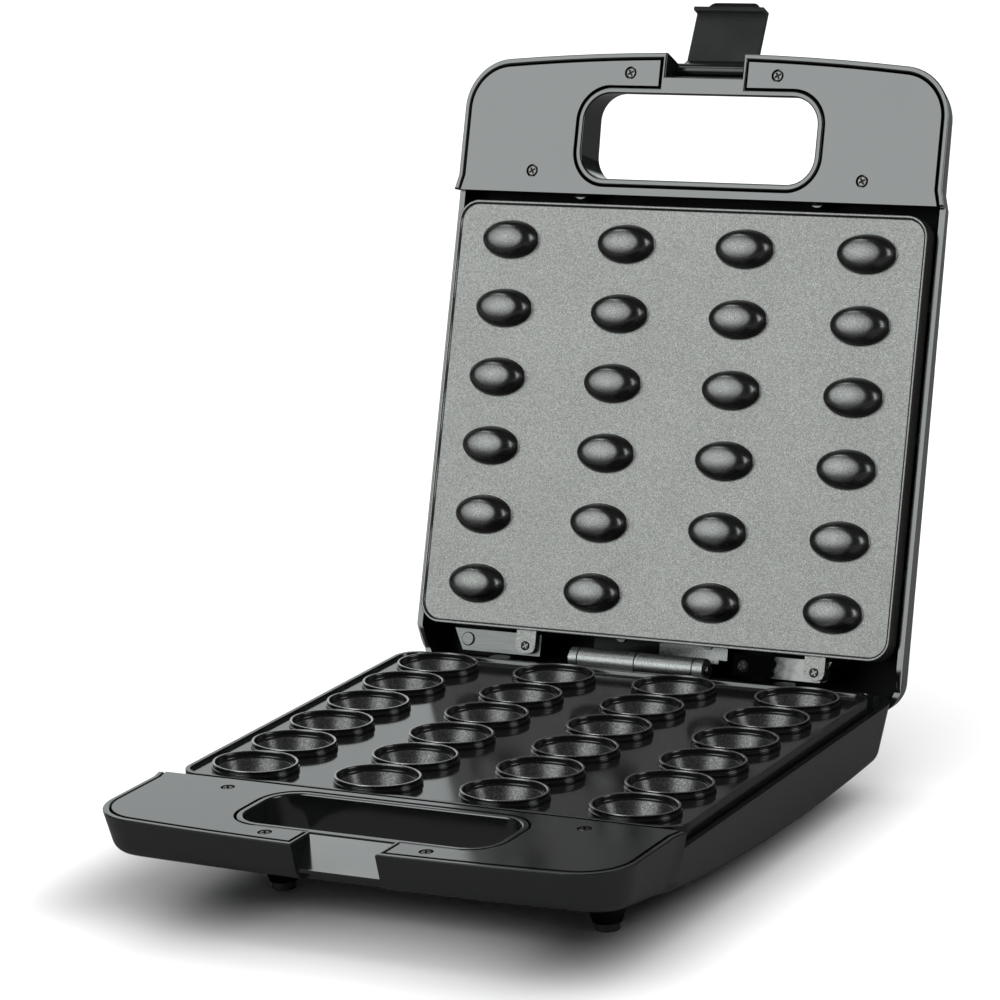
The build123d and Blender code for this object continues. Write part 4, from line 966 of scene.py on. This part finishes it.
front_box = soft_box((-0.436, -0.803, 0.407), 2, 27, 3.75)
top_box = soft_box((-0.45, -0.28, 0.84), 5, 5, 3.8)
side_box = total(soft_box((1.0, -0.12, 0.10), 8, 9, 2.6), soft_box((0.88, -0.02, 0.45), 8, 9, 2.6))
paper = soft_box((-0.62, 0.74, 0.22), 26, 12, 1.02)
brightness = total(total(front_box, top_box), total(total(paper, side_box), DIMMEST))
path = add_node(sky, "ShaderNodeLightPath")
shown = add_node(sky, "ShaderNodeMix", {
    0: path.outputs["Is Camera Ray"], 2: brightness, 3: BEYOND_THE_FLOOR}, data_type="FLOAT")
background = add_node(sky, "ShaderNodeBackground", {"Color": SKY_COLOUR, "Strength": shown.outputs[0]})
add_node(sky, "ShaderNodeOutputWorld", {"Surface": background.outputs[0]})
world.cycles_visibility.diffuse = False
print("nodes in the sky:", len(sky.nodes))

# %% Lamp above
LAMP_TILT, LAMP_SPREAD, LAMP_STRENGTH = (8, 6, 0), 106, 5.0
bpy.ops.object.light_add(type="SUN", rotation=[math.radians(turn) for turn in LAMP_TILT])
sun = bpy.context.object
sun.name = "soft_lamp_above"
sun.data.energy = LAMP_STRENGTH
sun.data.angle = math.radians(LAMP_SPREAD)
sun.visible_glossy = False
print("lamp:", sun.name)

# %% [markdown]
# ### The dark core of the shadow
# The photograph's shadow is darkest under the base and reaches forward under the handle, while the wide
# lamp would light the floor there between the feet. Darker paint on the floor would need an edge softened
# by hand. A card a little wider than the base, at its height, stops the lamp's light and is unseen by the
# camera and the reflections, so the core gets an edge that is soft by itself.

# %% Card that keeps the lamp's light off the floor under the base
CARD_MIDDLE, CARD_WIDTH, CARD_LENGTH = Vector((-26, -51, 32)), 290, 264
bpy.ops.mesh.primitive_plane_add(size=MM, location=CARD_MIDDLE * MM)
flag = bpy.context.object
flag.name = "shadow_card"
flag.scale = (CARD_WIDTH, CARD_LENGTH, 1)
settle(flag)
flag.visible_camera = flag.visible_glossy = flag.visible_diffuse = flag.visible_transmission = False
flag.data.materials.append(satin_black)
print("card:", flag.name)

# %% [markdown]
# ## Colours
# The photograph's white is plain white, and its blacks are deep. The Standard view transform keeps both
# where they are, while a film-like one would grey the paper and lift the shadows.

# %% Colours as the camera records them
bpy.context.scene.view_settings.view_transform = "Standard"
print("view transform:", bpy.context.scene.view_settings.view_transform)
